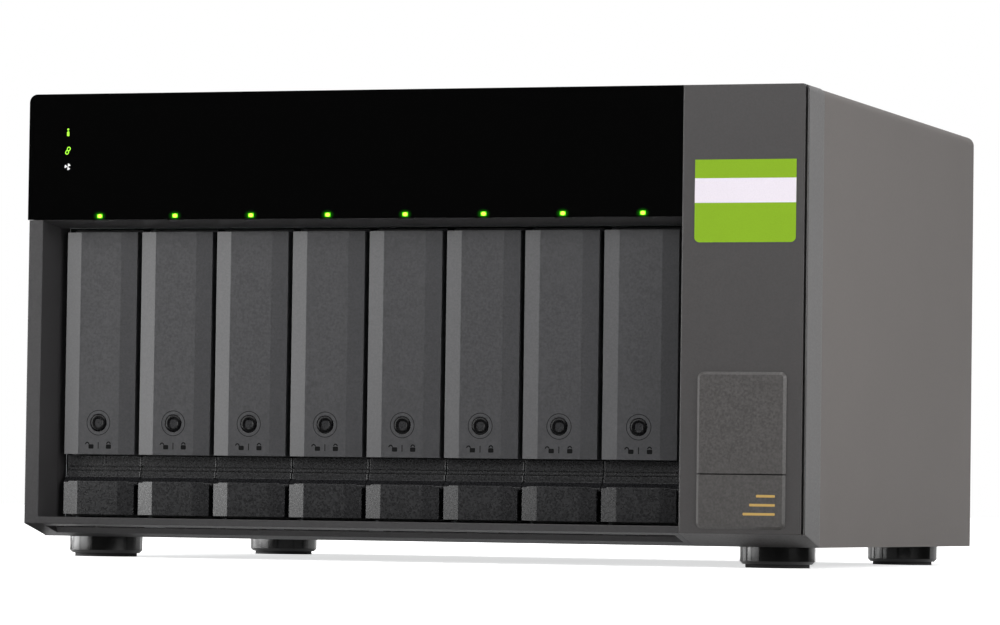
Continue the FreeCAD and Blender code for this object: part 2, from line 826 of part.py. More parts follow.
def build_connectors():
    """Drive connectors on the backplane, one for each tray."""
    body = new_body("drive_connectors")
    low = "(drive_bottom + connector_rise)"
    front = back("carrier_depth + 2*running_gap")
    reach = "(backplane_gap - 2*running_gap)"
    shell = rectangle(
        f"{tray_place(0)} - connector_width/2", f"{tray_place(0)} + connector_width/2", low,
        f"{low} + connector_height",
    )
    block = pad(body, "block", "XZ", [shell], front, reach)
    mouth = rectangle(
        f"{tray_place(0)} - connector_width/4", f"{tray_place(0)} + connector_width/4",
        f"{low} + connector_rise/2", f"{low} + connector_height - connector_rise/2",
    )
    cut = pocket(body, "mouth", "XZ", [mouth], f"{front} - overcut", f"0.6*{reach} + overcut")
    repeat(body, "blocks", [block, cut], "X", TRAY_PITCH, TRAYS)
    return body


# ---------------------------------------------------------------- controller board

BOARD_TOP = f"({BOARD_LEVEL} + board_thickness)"
BUTTON_X = f"({ROW_CENTRE} - 3.25*{TRAY_PITCH})"
SLIDER_X = f"({ROW_CENTRE} - 2.5*{TRAY_PITCH})"
SOCKET_X = f"({ROW_CENTRE} - 1.25*{TRAY_PITCH})"
HOUSING_REAR = f"({REAR_INNER} - housing_gap)"
BOARD_LEFT = f"({CAGE_LEFT} + board_inset)"
BOARD_RIGHT = f"({CAGE_RIGHT} - board_short)"
BOARD_FRONT = back("board_setback")
BOARD_REAR = f"({REAR_INNER} - board_clearance)"
SLIDER_RUN = "((slider_width + slider_travel)/2 + running_gap)"

# Places on the board as shares of its width and depth, and sizes as shares of a chip's width.
CHIPS = {
    "bridge_chip": (0.496, 0.419, 1.0),
    "port_chip": (0.722, 0.279, 0.78),
    "fan_chip": (0.269, 0.605, 0.45),
}
CAPACITORS = ((0.378, 0.815), (0.432, 0.815))


def board_place(across, along):
    """X and Y of a place on the controller board, given as shares of its width and depth."""
    x = f"({BOARD_LEFT} + {across}*({BOARD_RIGHT} - {BOARD_LEFT}))"
    y = f"({BOARD_FRONT} + {along}*({BOARD_REAR} - {BOARD_FRONT}))"
    return x, y


def square_at(x, y, half):
    """Outline of a square about a point."""
    return rectangle(f"{x} - {half}", f"{x} + {half}", f"{y} - {half}", f"{y} + {half}")


def build_controller_board():
    """Board above the cage on stand-offs, with its chips and the two switch housings."""
    body = new_body("controller_board")
    outline = rectangle(BOARD_LEFT, BOARD_RIGHT, BOARD_FRONT, BOARD_REAR)
    pad(body, "board", "XY", [outline], BOARD_LEVEL, "board_thickness")
    rows = (f"({BOARD_FRONT} + standoff_inset)", f"({back(CAGE_DEPTH)} - standoff_inset)")
    columns = (f"({BOARD_LEFT} + standoff_inset)", f"({BOARD_RIGHT} - standoff_inset)")
    posts = [square_at(x, y, "standoff_width/2") for x in columns for y in rows]
    pad(body, "standoffs", "XY", posts, f"({ROOF_LEVEL} + cage_sheet)", "standoff_height")
    for name, (across, along, share) in CHIPS.items():
        chip = square_at(*board_place(across, along), f"{share}*chip_width/2")
        pad(body, name, "XY", [chip], BOARD_TOP, "chip_height")
    cans = [(*board_place(across, along), "capacitor_radius") for across, along in CAPACITORS]
    pad(body, "capacitors", "XY", cans, BOARD_TOP, "capacitor_height")
    housing = rectangle(
        f"{BUTTON_X} - housing_margin", f"{SLIDER_X} + housing_margin", BOARD_TOP,
        "switch_level + button_radius + housing_margin/4",
    )
    pad(body, "switch_housing", "XZ", [housing], f"({HOUSING_REAR} - housing_depth)", "housing_depth")
    well = (BUTTON_X, "switch_level", "button_radius + running_gap")
    pocket(body, "button_well", "XZ", [well], f"{HOUSING_REAR} - well_depth", "well_depth + overcut")
    guide = (BUTTON_X, "switch_level", "button_stem + pin_clearance")
    pocket(body, "button_guide", "XZ", [guide], f"{HOUSING_REAR} - 2*well_depth", "2*well_depth + overcut")
    channel = [slider_outline("pin_clearance")]
    depth = "0.8*well_depth"
    pocket(body, "slider_channel", "XZ", channel, f"{HOUSING_REAR} - {depth}", f"{depth} + overcut")
    return body


def slider_outline(clearance):
    """Outline that the fan switch's slider sweeps, with a clearance above and below it."""
    half = f"(slider_height/2 + {clearance})"
    left = f"{SLIDER_X} - {SLIDER_RUN}"
    right = f"{SLIDER_X} + {SLIDER_RUN}"
    return rectangle(left, right, f"switch_level - {half}", f"switch_level + {half}")


def socket_outline(growth):
    """Outline of the data socket, grown by an amount."""
    return rectangle(
        f"{SOCKET_X} - socket_width/2 - {growth}",
        f"{SOCKET_X} + socket_width/2 + {growth}",
        f"{BOARD_TOP} - {growth}",
        f"{BOARD_TOP} + socket_height + {growth}",
    )


def build_data_socket():
    """Oval steel shell of the data socket with the tongue inside it."""
    body = new_body("data_socket")
    start = f"({REAR_FACE} + socket_proud - socket_length)"
    pad(body, "shell", "XZ", [socket_outline("0")], start, "socket_length")
    corners = [
        (f"{SOCKET_X} {side} socket_width/2", level)
        for side in "-+"
        for level in (BOARD_TOP, f"{BOARD_TOP} + socket_height")
    ]
    fillet(body, "round_ends", "Y", corners, "socket_height*0.45")
    mouth = [socket_outline("(-socket_wall)")]
    pocket(body, "mouth", "XZ", mouth, f"{start} + 3*socket_wall", "socket_length")
    middle = f"({BOARD_TOP} + socket_height/2)"
    tongue = rectangle(
        f"{SOCKET_X} - 0.35*socket_width", f"{SOCKET_X} + 0.35*socket_width", f"{middle} - 0.7*socket_wall",
        f"{middle} + 0.7*socket_wall",
    )
    pad(body, "tongue", "XZ", [tongue], f"{start} + 2*socket_wall", "socket_length - 4*socket_wall")
    return body


def build_power_button():
    """Round cap on a stem that slides in the switch housing."""
    body = new_body("power_button")
    cap_length = "(button_proud + metal + housing_gap + 0.6*well_depth)"
    cap = (BUTTON_X, "switch_level", "button_radius")
    pad(body, "cap", "XZ", [cap], f"{REAR_FACE} + button_proud - {cap_length}", cap_length)
    stem = (BUTTON_X, "switch_level", "button_stem")
    pad(body, "stem", "XZ", [stem], f"{HOUSING_REAR} - 1.6*well_depth", "1.2*well_depth")
    return body


def build_fan_switch():
    """Slider of the fan speed switch."""
    body = new_body("fan_switch")
    knob = rectangle(
        f"{SLIDER_X} - slider_width/2", f"{SLIDER_X} + slider_width/2", "switch_level - slider_height/2",
        "switch_level + slider_height/2",
    )
    start = f"({HOUSING_REAR} - 0.72*well_depth)"
    pad(body, "knob", "XZ", [knob], start, f"{REAR_FACE} + slider_proud - {start}")
    return body


# ---------------------------------------------------------------- rear wall and fans

FANS = (f"({ROW_CENTRE} - (fan_width + fan_gap)/2)", f"({ROW_CENTRE} + (fan_width + fan_gap)/2)")
SUPPLY_BOTTOM = "(base_level + metal)"
REAR_SIDE = f"({PAN_SIDE} - slip)"
REAR_TOP = "(height - metal - slip)"


def build_rear_panel():
    """Steel rear wall with its openings."""
    body = new_body("rear_panel")
    outline = rectangle(f"-{REAR_SIDE}", REAR_SIDE, "base_level + metal", REAR_TOP)
    pad(body, "wall", "XZ", [outline], REAR_INNER, "metal")
    corners = [(f"-{REAR_SIDE}", REAR_TOP), (REAR_SIDE, REAR_TOP)]
    fillet(body, "top_corners", "Y", corners, "cover_radius - metal")
    cut_start = f"{REAR_INNER} - overcut"
    cut_length = "metal + 2*overcut"
    openings = [(centre, "fan_level", "fan_bore") for centre in FANS]
    pocket(body, "fan_openings", "XZ", openings, cut_start, cut_length)
    supply = rectangle(
        f"{SUPPLY_CENTRE} - supply_width/2 + panel_lap", f"{SUPPLY_CENTRE} + supply_width/2 - panel_lap",
        f"{SUPPLY_BOTTOM} + panel_lap", f"{SUPPLY_BOTTOM} + supply_height - panel_lap",
    )
    lock_right = f"({REAR_SIDE} - lock_slot_inset)"
    lock = rectangle(
        f"{lock_right} - lock_slot_width", lock_right, "switch_level - lock_slot_height/2",
        "switch_level + lock_slot_height/2",
    )
    slots = [supply, socket_outline("slip"), slider_outline("running_gap"), lock]
    pocket(body, "openings", "XZ", slots, cut_start, cut_length)
    button = (BUTTON_X, "switch_level", "button_radius + running_gap")
    pocket(body, "button_hole", "XZ", [button], cut_start, cut_length)
    return body


def build_fan_frame():
    """Square frame of a fan, centred on its axis, with the motor mount on four arms."""
    body = new_body("fan_frame")
    half = "fan_width/2"
    square = rectangle(f"-{half}", half, f"-{half}", half)
    pad(body, "frame", "XZ", [square], "-fan_depth", "fan_depth")
    corners = [(f"{aside}{half}", f"{rise}{half}") for aside in ("-", "") for rise in ("-", "")]
    fillet(body, "corners", "Y", corners, "fan_corner_radius")
    pocket(body, "duct", "XZ", [("0", "0", "fan_bore")], "-fan_depth - overcut", "fan_depth + 2*overcut")
    reach = "(fan_bore + overcut)"
    side = "fan_arm/2"
    across = rectangle(f"-{reach}", reach, f"-{side}", side)
    upright = rectangle(f"-{side}", side, f"-{reach}", reach)
    pad(body, "motor_mount", "XZ", [("0", "0", "hub_radius + fan_arm/4")], "-fan_depth", "fan_mount")
    pad(body, "arm_across", "XZ", [across], "-fan_depth", "fan_mount")
    pad(body, "arm_upright", "XZ", [upright], "-fan_depth", "fan_mount")
    spindle = ("0", "0", "spindle_radius")
    pad(body, "spindle", "XZ", [spindle], "-fan_depth + 2*fan_mount/3", "fan_depth - 8*fan_mount/3")
    return body


def build_rotor(name, hub, tip, length, blades, hub_start, shaft_bore):
    """Fan rotor centred on its axis: a hub cup with a ring of slanted blades."""
    body = new_body(name)
    pad(body, "hub", "XZ", [("0", "0", hub)], hub_start, length)
    skin = "blade_skin"
    half_rise = f"({hub}*0.42)"
    blade = [
        (f"{hub_start} + blade_inset", f"-{half_rise}"),
        (f"{hub_start} + blade_inset + {skin}*1.4", f"-{half_rise}"),
        (f"{hub_start} + {length} - blade_inset", half_rise),
        (f"{hub_start} + {length} - blade_inset - {skin}*1.4", half_rise),
    ]
    first = pad(body, "blade", "YZ", [blade], f"({hub}*0.8)", f"{tip} - {hub}*0.8")
    repeat_round(body, "blades", [first], "Y", blades)
    bore_length = f"{length} - hub_cap + overcut"
    pocket(body, "shaft_bore", "XZ", [("0", "0", shaft_bore)], f"{hub_start} - overcut", bore_length)
    return body


def build_guard(name, outer, lap):
    """Guard of a ring on crossed bars that reach past it, centred on the fan's axis."""
    body = new_body(name)
    length = "(rear_inset - slip)"
    ring = [("0", "0", outer), ("0", "0", f"{outer} - guard_wire")]
    pad(body, "ring", "XZ", [*ring], "0", length)
    reach = f"({outer} + {lap})"
    half = "guard_wire/2"
    pad(body, "bar_across", "XZ", [rectangle(f"-{reach}", reach, f"-{half}", half)], "0", length)
    pad(body, "bar_upright", "XZ", [rectangle(f"-{half}", half, f"-{reach}", reach)], "0", length)
    return body


SMALL_ROTOR_START = "(2*running_gap - supply_well)"
SMALL_ROTOR_LENGTH = "(supply_well - 10*running_gap)"


def build_power_supply():
    """Closed power supply with a fan well and the opening for its inlet."""
    body = new_body("power_supply")
    half = "supply_width/2"
    case = rectangle(
        f"{SUPPLY_CENTRE} - {half}", f"{SUPPLY_CENTRE} + {half}", SUPPLY_BOTTOM,
        f"{SUPPLY_BOTTOM} + supply_height",
    )
    pad(body, "case", "XZ", [case], f"{REAR_INNER} - supply_length", "supply_length")
    well = (SUPPLY_CENTRE, "supply_fan_level", "supply_fan_bore")
    pocket(body, "fan_well", "XZ", [well], f"{REAR_INNER} - supply_well", "supply_well + overcut")
    inlet = rectangle(
        f"{SUPPLY_CENTRE} - inlet_width/2", f"{SUPPLY_CENTRE} + inlet_width/2",
        "inlet_level - inlet_height/2", "inlet_level + inlet_height/2",
    )
    pocket(body, "inlet_opening", "XZ", [inlet], f"{REAR_INNER} - inlet_depth", "inlet_depth + overcut")
    spindle = (SUPPLY_CENTRE, "supply_fan_level", "spindle_radius")
    reach = f"supply_well + {SMALL_ROTOR_START} + {SMALL_ROTOR_LENGTH} - hub_cap - running_gap"
    pad(body, "fan_spindle", "XZ", [spindle], f"{REAR_INNER} - supply_well - overcut", f"overcut + {reach}")
    return body


def inlet_outline(growth):
    """Outline of the inlet's barrel, grown by an amount."""
    return rectangle(
        f"{SUPPLY_CENTRE} - inlet_width/2 - {growth}",
        f"{SUPPLY_CENTRE} + inlet_width/2 + {growth}",
        f"inlet_level - inlet_height/2 - {growth}",
        f"inlet_level + inlet_height/2 + {growth}",
    )


def build_inlet():
    """Mains inlet with its three pins."""
    body = new_body("power_inlet")
    start = f"({REAR_INNER} - inlet_depth + slip)"
    pad(body, "barrel", "XZ", [inlet_outline("(-slip)")], start, "inlet_depth - slip")
    pad(body, "flange", "XZ", [inlet_outline("inlet_flange")], REAR_INNER, "inlet_flange")
    half = "(inlet_width/2 - inlet_wall)"
    top = "(inlet_level + inlet_height/2 - inlet_wall)"
    low = "(inlet_level - inlet_height/2 + inlet_wall)"
    mouth = [
        (f"{SUPPLY_CENTRE} - {half}", low),
        (f"{SUPPLY_CENTRE} + {half}", low),
        (f"{SUPPLY_CENTRE} + {half}", f"{top} - inlet_corner"),
        (f"{SUPPLY_CENTRE} + {half} - inlet_corner", top),
        (f"{SUPPLY_CENTRE} - {half} + inlet_corner", top),
        (f"{SUPPLY_CENTRE} - {half}", f"{top} - inlet_corner"),
    ]
    pocket(body, "mouth", "XZ", [mouth], f"{start} + inlet_wall", "inlet_depth + inlet_flange")
    pins = [
        rectangle(
            f"{SUPPLY_CENTRE} + {aside}*inlet_width - inlet_wall/2",
            f"{SUPPLY_CENTRE} + {aside}*inlet_width + inlet_wall/2",
            f"inlet_level + {rise}*inlet_wall - inlet_wall",
            f"inlet_level + {rise}*inlet_wall + inlet_wall",
        )
        for aside, rise in ((-0.26, -1), (0.26, -1), (0, 1))
    ]
    pad(body, "pins", "XZ", pins, f"{start} + inlet_wall/2", "inlet_depth - 3*inlet_wall")
    return body


# ---------------------------------------------------------------- feet

def build_foot():
    """Gloss cup of a foot, open below for its rubber pad, centred on its own axis."""
    body = new_body("foot")
    half = [
        ("0", "base_level"),
        ("foot_radius", "base_level"),
        ("foot_radius", "pad_proud + foot_edge_radius"),
        ("foot_radius - foot_edge_radius", "pad_proud"),
        ("0", "pad_proud"),
    ]
    return revolve(body, "cup", half)


def build_pad():
    """Rubber pad of a foot, centred on its own axis."""
    body = new_body("pad")
    half = [
        ("0", "0"),
        ("pad_radius", "0"),
        ("pad_radius", "pad_proud"),
        ("0", "pad_proud"),
    ]
    return revolve(body, "disc", half)


def revolve(body, name, half):
    """Full turn of a half section about the body's Z axis."""
    sketch = sketch_on(body, f"{name}_outline", "XZ", "0")
    draw_outline(sketch, half)
    feature = body.newObject("PartDesign::Revolution", name)
    feature.Profile = sketch
    feature.ReferenceAxis = (origin_feature(body, "Z_Axis"), [""])
    feature.Angle = 360
    sketch.Visibility = False
    return body


# ---------------------------------------------------------------- one tray, centred on x = 0

FACE = back("tray_back")
HALF_TRAY = f"({TRAY_WIDTH}/2)"
HALF_FLAT = f"({HALF_TRAY} - facet_width)"
INNER_SIDE = f"({HALF_TRAY} - handle_cheek)"
PLATE_BACK = back("tray_back + facet_depth + handle_wall")
PIVOT_Y = back("tray_back + pivot_back")
LATCH_PIVOT_Y = back("tray_back + latch_pivot_back")


def faceted(depth_back):
    """Plan of a tray front: a flat with a sloping facet at each side."""
    return [
        (f"-{HALF_TRAY}", back(f"tray_back + {depth_back}")),
        (f"-{HALF_TRAY}", back("tray_back + facet_depth")),
        (f"-{HALF_FLAT}", FACE),
        (HALF_FLAT, FACE),
        (HALF_TRAY, back("tray_back + facet_depth")),
        (HALF_TRAY, back(f"tray_back + {depth_back}")),
    ]


def hinge_bar(body, y, level):
    """Steel hinge bar pressed into both sides of a moving piece."""
    reach = f"({INNER_SIDE} + handle_cheek/2)"
    pad(body, "hinge_bar", "YZ", [(y, level, "pin_radius")], f"-{reach}", f"2*{reach}")


def build_handle():
    """Swinging front of a tray: faceted channel with pins at its top and a bore for the lock."""
    body = new_body("handle")
    rim = "facet_depth + handle_wall + handle_rim"
    pad(body, "front", "XY", [faceted(rim)], "handle_bottom", "handle_top - handle_bottom")
    hollow = rectangle(
        f"-{INNER_SIDE}", INNER_SIDE, PLATE_BACK, back(f"tray_back + {rim} + overcut")
    )
    tall = "handle_top - handle_bottom + 2*overcut"
    pocket(body, "hollow", "XY", [hollow], "handle_bottom - overcut", tall)
    hinge_bar(body, PIVOT_Y, PIVOT_LEVEL)
    bore = [("0", "lock_level", "lock_radius + lock_clearance")]
    bore_length = "facet_depth + handle_wall + 2*overcut"
    pocket(body, "lock_bore", "XZ", bore, back("tray_back - overcut"), bore_length)
    return body


def build_lock():
    """Key lock barrel with a square key recess and a cam behind the handle."""
    body = new_body("lock")
    cam_start = back("tray_back + facet_depth + handle_wall + running_gap")
    front = back("tray_back + lock_sink")
    barrel = [("0", "lock_level", "lock_radius")]
    pad(body, "barrel", "XZ", barrel, front, f"{cam_start} + cam_thickness - {front}")
    key = rectangle(
        "-key_recess/2", "key_recess/2", "lock_level - key_recess/2", "lock_level + key_recess/2"
    )
    pocket(body, "key_hole", "XZ", [key], f"{front} - overcut", "key_depth + overcut")
    cam = rectangle("0", "cam_reach", "lock_level - cam_width/2", "lock_level + cam_width/2")
    pad(body, "cam", "XZ", [cam], cam_start, "cam_thickness")
    return body


def build_latch():
    """Rocking latch: ribbed grip above a faceted block with a scooped top, hollow behind."""
    body = new_body("latch")
    top = "latch_block_top"
    pad(body, "block", "XY", [faceted("latch_depth")], "latch_bottom", f"{top} - latch_bottom")
    grip = "(tray_back + grip_back)"
    groove = f"({grip} + grip_groove)"
    ridge = f"({grip} - grip_ridge)"
    foot = "(tray_back + scoop_depth)"
    rear = back("tray_back + latch_depth")
    line_levels = [f"(latch_top - grip_band - {count}*grip_line)" for count in (0, 1, 2, 2.6)]
    section = [
        (back(grip), "latch_top"),
        (back(grip), line_levels[0]),
        (back(groove), line_levels[0]),
        (back(groove), line_levels[1]),
        (back(grip), line_levels[1]),
        (back(grip), line_levels[2]),
        (back(groove), line_levels[2]),
        (back(groove), line_levels[3]),
        (back(ridge), line_levels[3]),
        (back(ridge), f"{top} + scoop_rise"),
        (back(foot), f"{top} - grip_line/2"),
        (back(foot), f"{top} - scoop_lip"),
        (rear, f"{top} - scoop_lip"),
        (rear, "latch_top"),
    ]
    half_grip = f"({HALF_TRAY} + grip_flare)"
    pad(body, "grip", "YZ", [section], f"-{half_grip}", f"2*{half_grip}")
    edges = [(side, back(depth)) for side in (f"-{half_grip}", half_grip) for depth in (grip, ridge)]
    chamfer(body, "grip_bevels", "Z", edges, "grip_bevel")
    inner = rectangle(
        back("tray_back + facet_depth + 0.8*latch_wall"), back("tray_back + latch_depth + overcut"),
        "latch_bottom + latch_wall", f"{top} - 1.5*scoop_lip",
    )
    pocket(body, "hollow", "YZ", [inner], f"-{INNER_SIDE}", f"2*{INNER_SIDE}")
    slope = f"(({ridge} - {foot})/(scoop_rise + grip_line/2))"
    scoop = [
        (back("tray_back + 0.3*scoop_lip"), f"{top} + overcut"),
        (back("tray_back + 0.6*scoop_lip"), f"{top} - 0.6*grip_line"),
        (back(foot), f"{top} - 1.1*grip_line"),
        (back(foot), f"{top} - grip_line/2"),
        (back(f"{foot} + {slope}*(overcut + grip_line/2)"), f"{top} + overcut"),
    ]
    pocket(body, "scoop", "YZ", [scoop], f"-{half_grip} - overcut", f"2*{half_grip} + 2*overcut")
    hinge_bar(body, LATCH_PIVOT_Y, "latch_pivot_level")
    return body


def carrier_lug(body, name, y, level):
    """Eyed lug on the carrier's wall, with bevelled corners, that a hinge bar turns in."""
    wall = back("carrier_wall_back + carrier_wall/2")
    reach = "lug_reach"
    bevel = "(lug_reach*0.45)"
    outline = [
        (wall, f"{level} - {reach}"),
        (wall, f"{level} + {reach}"),
        (f"{y} - {bevel}", f"{level} + {reach}"),
        (f"{y} - {reach}", f"{level} + {bevel}"),
        (f"{y} - {reach}", f"{level} - {bevel}"),
        (f"{y} - {bevel}", f"{level} - {reach}"),
    ]
    bore = (y, level, "pin_radius + pin_clearance")
    pad(body, name, "YZ", [outline, bore], "-lug_width/2", "lug_width")


def drive_screw_places():
    """Centres of the four holes for a drive's screws, in the plane of the side plate."""
    end = back("drive_back + drive_long - screw_row_start")
    low = "drive_bottom + (drive_tall - screw_rows_apart)/2"
    return [
        (f"({end} - {column}*screw_row_pitch)", f"({low} + {row}*screw_rows_apart)")
        for column in (0, 1)
        for row in (0, 1)
    ]


def build_carrier():
    """Sliding carrier of a tray: front wall, side plate and two rails round an open drive space."""
    body = new_body("carrier")
    wall = rectangle(CARRIER_LEFT, CARRIER_RIGHT, CARRIER_BOTTOM, CARRIER_TOP)
    pad(body, "front_wall", "XZ", [wall], back("carrier_wall_back"), "carrier_wall")
    inner = back("carrier_wall_back + carrier_wall/2")
    length = "carrier_depth - carrier_wall_back - carrier_wall/2"
    rail = [
        (CARRIER_LEFT, CARRIER_BOTTOM),
        (CARRIER_RIGHT, CARRIER_BOTTOM),
        (CARRIER_RIGHT, f"{CARRIER_BOTTOM} + carrier_rail"),
        (f"{CARRIER_LEFT} + carrier_plate", f"{CARRIER_BOTTOM} + carrier_rail"),
        (f"{CARRIER_LEFT} + carrier_plate", f"{CARRIER_TOP} - carrier_rail"),
        (CARRIER_RIGHT, f"{CARRIER_TOP} - carrier_rail"),
        (CARRIER_RIGHT, CARRIER_TOP),
        (CARRIER_LEFT, CARRIER_TOP),
    ]
    pad(body, "channel", "XZ", [rail], inner, length)
    carrier_lug(body, "handle_lug", PIVOT_Y, PIVOT_LEVEL)
    carrier_lug(body, "latch_lug", LATCH_PIVOT_Y, "latch_pivot_level")
    plate_start = f"{CARRIER_LEFT} - overcut"
    plate_cut = "carrier_plate + 1.5*overcut"
    holes = [(y, z, "drive_screw") for y, z in drive_screw_places()]
    pocket(body, "drive_screw_holes", "YZ", holes, plate_start, plate_cut)
    middle = "(drive_bottom + drive_tall/2)"
    windows = [
        rectangle(
            back(start), back(f"{start} + window_width"), f"{middle} - window_height/2",
            f"{middle} + window_height/2",
        )
        for start in ("front_window", "middle_window", "rear_window")
    ]
    pocket(body, "windows", "YZ", windows, plate_start, plate_cut)
    return body


# ---------------------------------------------------------------- assembly

def build_trays():
    """Eight like trays, each as a carrier, a handle, a latch and a lock."""
    pieces = {
        "tray_carrier": build_carrier(),
        "tray_handle": build_handle(),
        "tray_latch": build_latch(),
        "tray_lock": build_lock(),
    }
    return [
        copy_of(source, f"{name}_{index + 1}", x=tray_place(index))
        for name, source in pieces.items()
        for index in range(TRAYS)
    ]


def build_fans():
    """Two big fans and their guards, and the small fan of the power supply."""
    frame = build_fan_frame()
    bore = "spindle_radius + spindle_clearance"
    rotor = build_rotor(
        "big_rotor", "hub_radius", "blade_tip", "(fan_depth - fan_mount - hub_cap)", FAN_BLADES,
        "(fan_mount + 2*running_gap - fan_depth)", bore
    )
    small = build_rotor(
        "small_rotor", "supply_hub", "(supply_fan_bore - blade_skin)", SMALL_ROTOR_LENGTH, SMALL_FAN_BLADES,
        SMALL_ROTOR_START, bore
    )
    guard = build_guard("big_guard", "(fan_bore - guard_lap/3)", "guard_lap")
    small_guard = build_guard("small_guard", "(supply_fan_bore - guard_lap/3)", "guard_wire")
    frames = [
        copy_of(frame, f"fan_frame_{side}", centre, REAR_INNER, "fan_level")
        for side, centre in zip(("left", "right"), FANS)
    ]
    guards = [
        copy_of(guard, f"fan_guard_{side}", centre, REAR_FACE, "fan_level")
        for side, centre in zip(("left", "right"), FANS)
    ]
    guards.append(
        copy_of(small_guard, "fan_guard_supply", SUPPLY_CENTRE, REAR_INNER, "supply_fan_level")
    )
    return [
        group_of("fan_frames", frames),
        group_of("fan_guards", guards),
        copy_of(rotor, "fan_rotor_left", FANS[0], REAR_INNER, "fan_level"),
        copy_of(rotor, "fan_rotor_right", FANS[1], REAR_INNER, "fan_level"),
        copy_of(small, "supply_fan_rotor", SUPPLY_CENTRE, REAR_INNER, "supply_fan_level"),
    ]


def build_feet():
    """Four feet and their rubber pads."""
    foot = build_foot()
    rubber = build_pad()
    corners = [
        (aside, depth)
        for aside in (f"{LEFT} + foot_side", f"{RIGHT} - foot_side")
        for depth in (back("foot_end_distance"), f"{REAR} - foot_end_distance")
    ]
    cups = [copy_of(foot, f"foot_cup_{number}", x, y) for number, (x, y) in enumerate(corners)]
    pads = [copy_of(rubber, f"foot_rubber_{number}", x, y) for number, (x, y) in enumerate(corners)]
    return [group_of("feet", cups), group_of("foot_pads", pads)]


UPPER_SPLIT = "(badge_split + badge_gap/2)"
LOWER_SPLIT = "(badge_split - badge_gap/2)"


def build_all():
    """Every piece of the enclosure."""
    return [
        build_bezel(),
        build_display_panel(),
        build_drive_lights(),
        build_column(),
        build_plate("blank_cover", UPPER_SPLIT, "badge_top", "badge_top", UPPER_SPLIT),
        build_plate("name_plate", "badge_bottom", LOWER_SPLIT, "badge_bottom", LOWER_SPLIT),
        build_cover(),
        build_base_pan(),
        build_cage(),
        build_cage_roof(),
        build_backplane(),
        build_connectors(),
        build_controller_board(),
        build_data_socket(),
        build_power_button(),
        build_fan_switch(),
        build_rear_panel(),
        build_power_supply(),
        build_inlet(),
        *build_feet(),
        *build_fans(),
        *build_trays(),
    ]


def check(pieces):
    """Stops at any object that failed and any piece without a sound shape."""
    for item in doc.Objects:
        if {"Invalid", "Error"} & set(item.State):
            raise RuntimeError(f"{item.Name} failed: {item.State}")
    for piece in pieces:
        if piece.Shape.isNull() or not piece.Shape.isValid() or not piece.Shape.Solids:
            raise RuntimeError(f"{piece.Label} has no sound shape")


def export(pieces):
    """Writes one file for each piece."""
    os.makedirs("parts", exist_ok=True)
    for piece in pieces:
        piece.Shape.exportStep(os.path.join("parts", f"{piece.Label}.step"))


pieces = build_all()
doc.recompute()
check(pieces)
export(pieces)
print(f"{len(pieces)} pieces written")
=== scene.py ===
"""Finishes, prints, fasteners and studio for the disk shelf enclosure.

Laid out as an add-on: property groups hold what a user would change, one operator dresses
each piece or group of like pieces, and a panel in the sidebar lists them.
"""
import math

import bmesh
import bpy
from mathutils import Matrix, Vector


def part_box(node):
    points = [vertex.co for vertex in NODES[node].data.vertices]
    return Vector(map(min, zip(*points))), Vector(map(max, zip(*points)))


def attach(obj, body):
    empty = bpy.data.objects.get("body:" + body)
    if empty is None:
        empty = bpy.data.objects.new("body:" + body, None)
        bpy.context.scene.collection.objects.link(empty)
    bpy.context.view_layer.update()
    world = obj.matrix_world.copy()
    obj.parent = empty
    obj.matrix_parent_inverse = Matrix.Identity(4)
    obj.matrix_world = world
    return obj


bl_info = {
    "name": "Disk shelf enclosure dressing",
    "version": (1, 0, 0),
    "blender": (4, 5, 0),
    "location": "3D View > Sidebar > Enclosure",
    "description": "Gives the packed enclosure its finishes, prints, fasteners and studio",
    "category": "Object",
}

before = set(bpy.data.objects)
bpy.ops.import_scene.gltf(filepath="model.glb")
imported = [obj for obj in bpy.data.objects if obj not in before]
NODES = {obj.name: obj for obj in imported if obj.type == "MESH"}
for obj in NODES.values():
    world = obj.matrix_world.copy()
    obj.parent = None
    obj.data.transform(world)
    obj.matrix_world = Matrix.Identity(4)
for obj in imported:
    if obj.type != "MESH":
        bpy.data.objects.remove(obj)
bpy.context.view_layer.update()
TRAYS = 8
MM = 0.001


def middle(name):
    """Centre of a node's box, in metres."""
    low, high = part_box(name)
    return (low + high) / 2


def linear(code):
    """Linear colour of an sRGB hex value."""
    channels = []
    for start in (0, 2, 4):
        part = int(code[start:start + 2], 16) / 255
        channels.append(part / 12.92 if part <= 0.04045 else ((part + 0.055) / 1.055) ** 2.4)
    return (*channels, 1.0)


# ---------------------------------------------------------------- what a user would change

def length(name, description, millimetres):
    """Length property with a default in millimetres."""
    return bpy.props.FloatProperty(
        name=name, description=description, default=millimetres * MM, min=0.0,
        unit="LENGTH", subtype="DISTANCE",
    )


def colour(name, description, code):
    """Colour property with an sRGB default."""
    return bpy.props.FloatVectorProperty(
        name=name, description=description, default=linear(code), size=4,
        min=0.0, max=1.0, subtype="COLOR",
    )

def power(name, description, watts):
    """Lamp power property with a default in watts."""
    return bpy.props.FloatProperty(
        name=name, description=description, default=watts, min=0.0, unit="POWER",
    )


class EnclosureSizes(bpy.types.PropertyGroup):
    """Sizes of the prints and small parts."""

    ink: length("Ink", "Thickness of a printed mark", 0.02)
    sticker: length("Sticker", "Thickness of the vinyl label", 0.12)
    label_width: length("Label width", "Width of the label on the column", 40.9)
    label_height: length("Label height", "Height of the label on the column", 32.3)
    label_corner: length("Label corner", "Radius of the label's corners", 2.0)
    # The groove round a key lock is drawn as a ring of dark ink, a painted shadow of it.
    ring_radius: length("Ring radius", "Radius of the groove round a key lock", 5.2)
    ring_wire: length("Ring width", "Width of the groove round a key lock", 0.3)
    mark_height: length("Mark height", "Height of a printed padlock", 3.4)
    screw_head: length("Screw head", "Radius of a case screw's head", 2.9)
    wire: length("Wire", "Radius of a wire of the fan guards", 0.7)


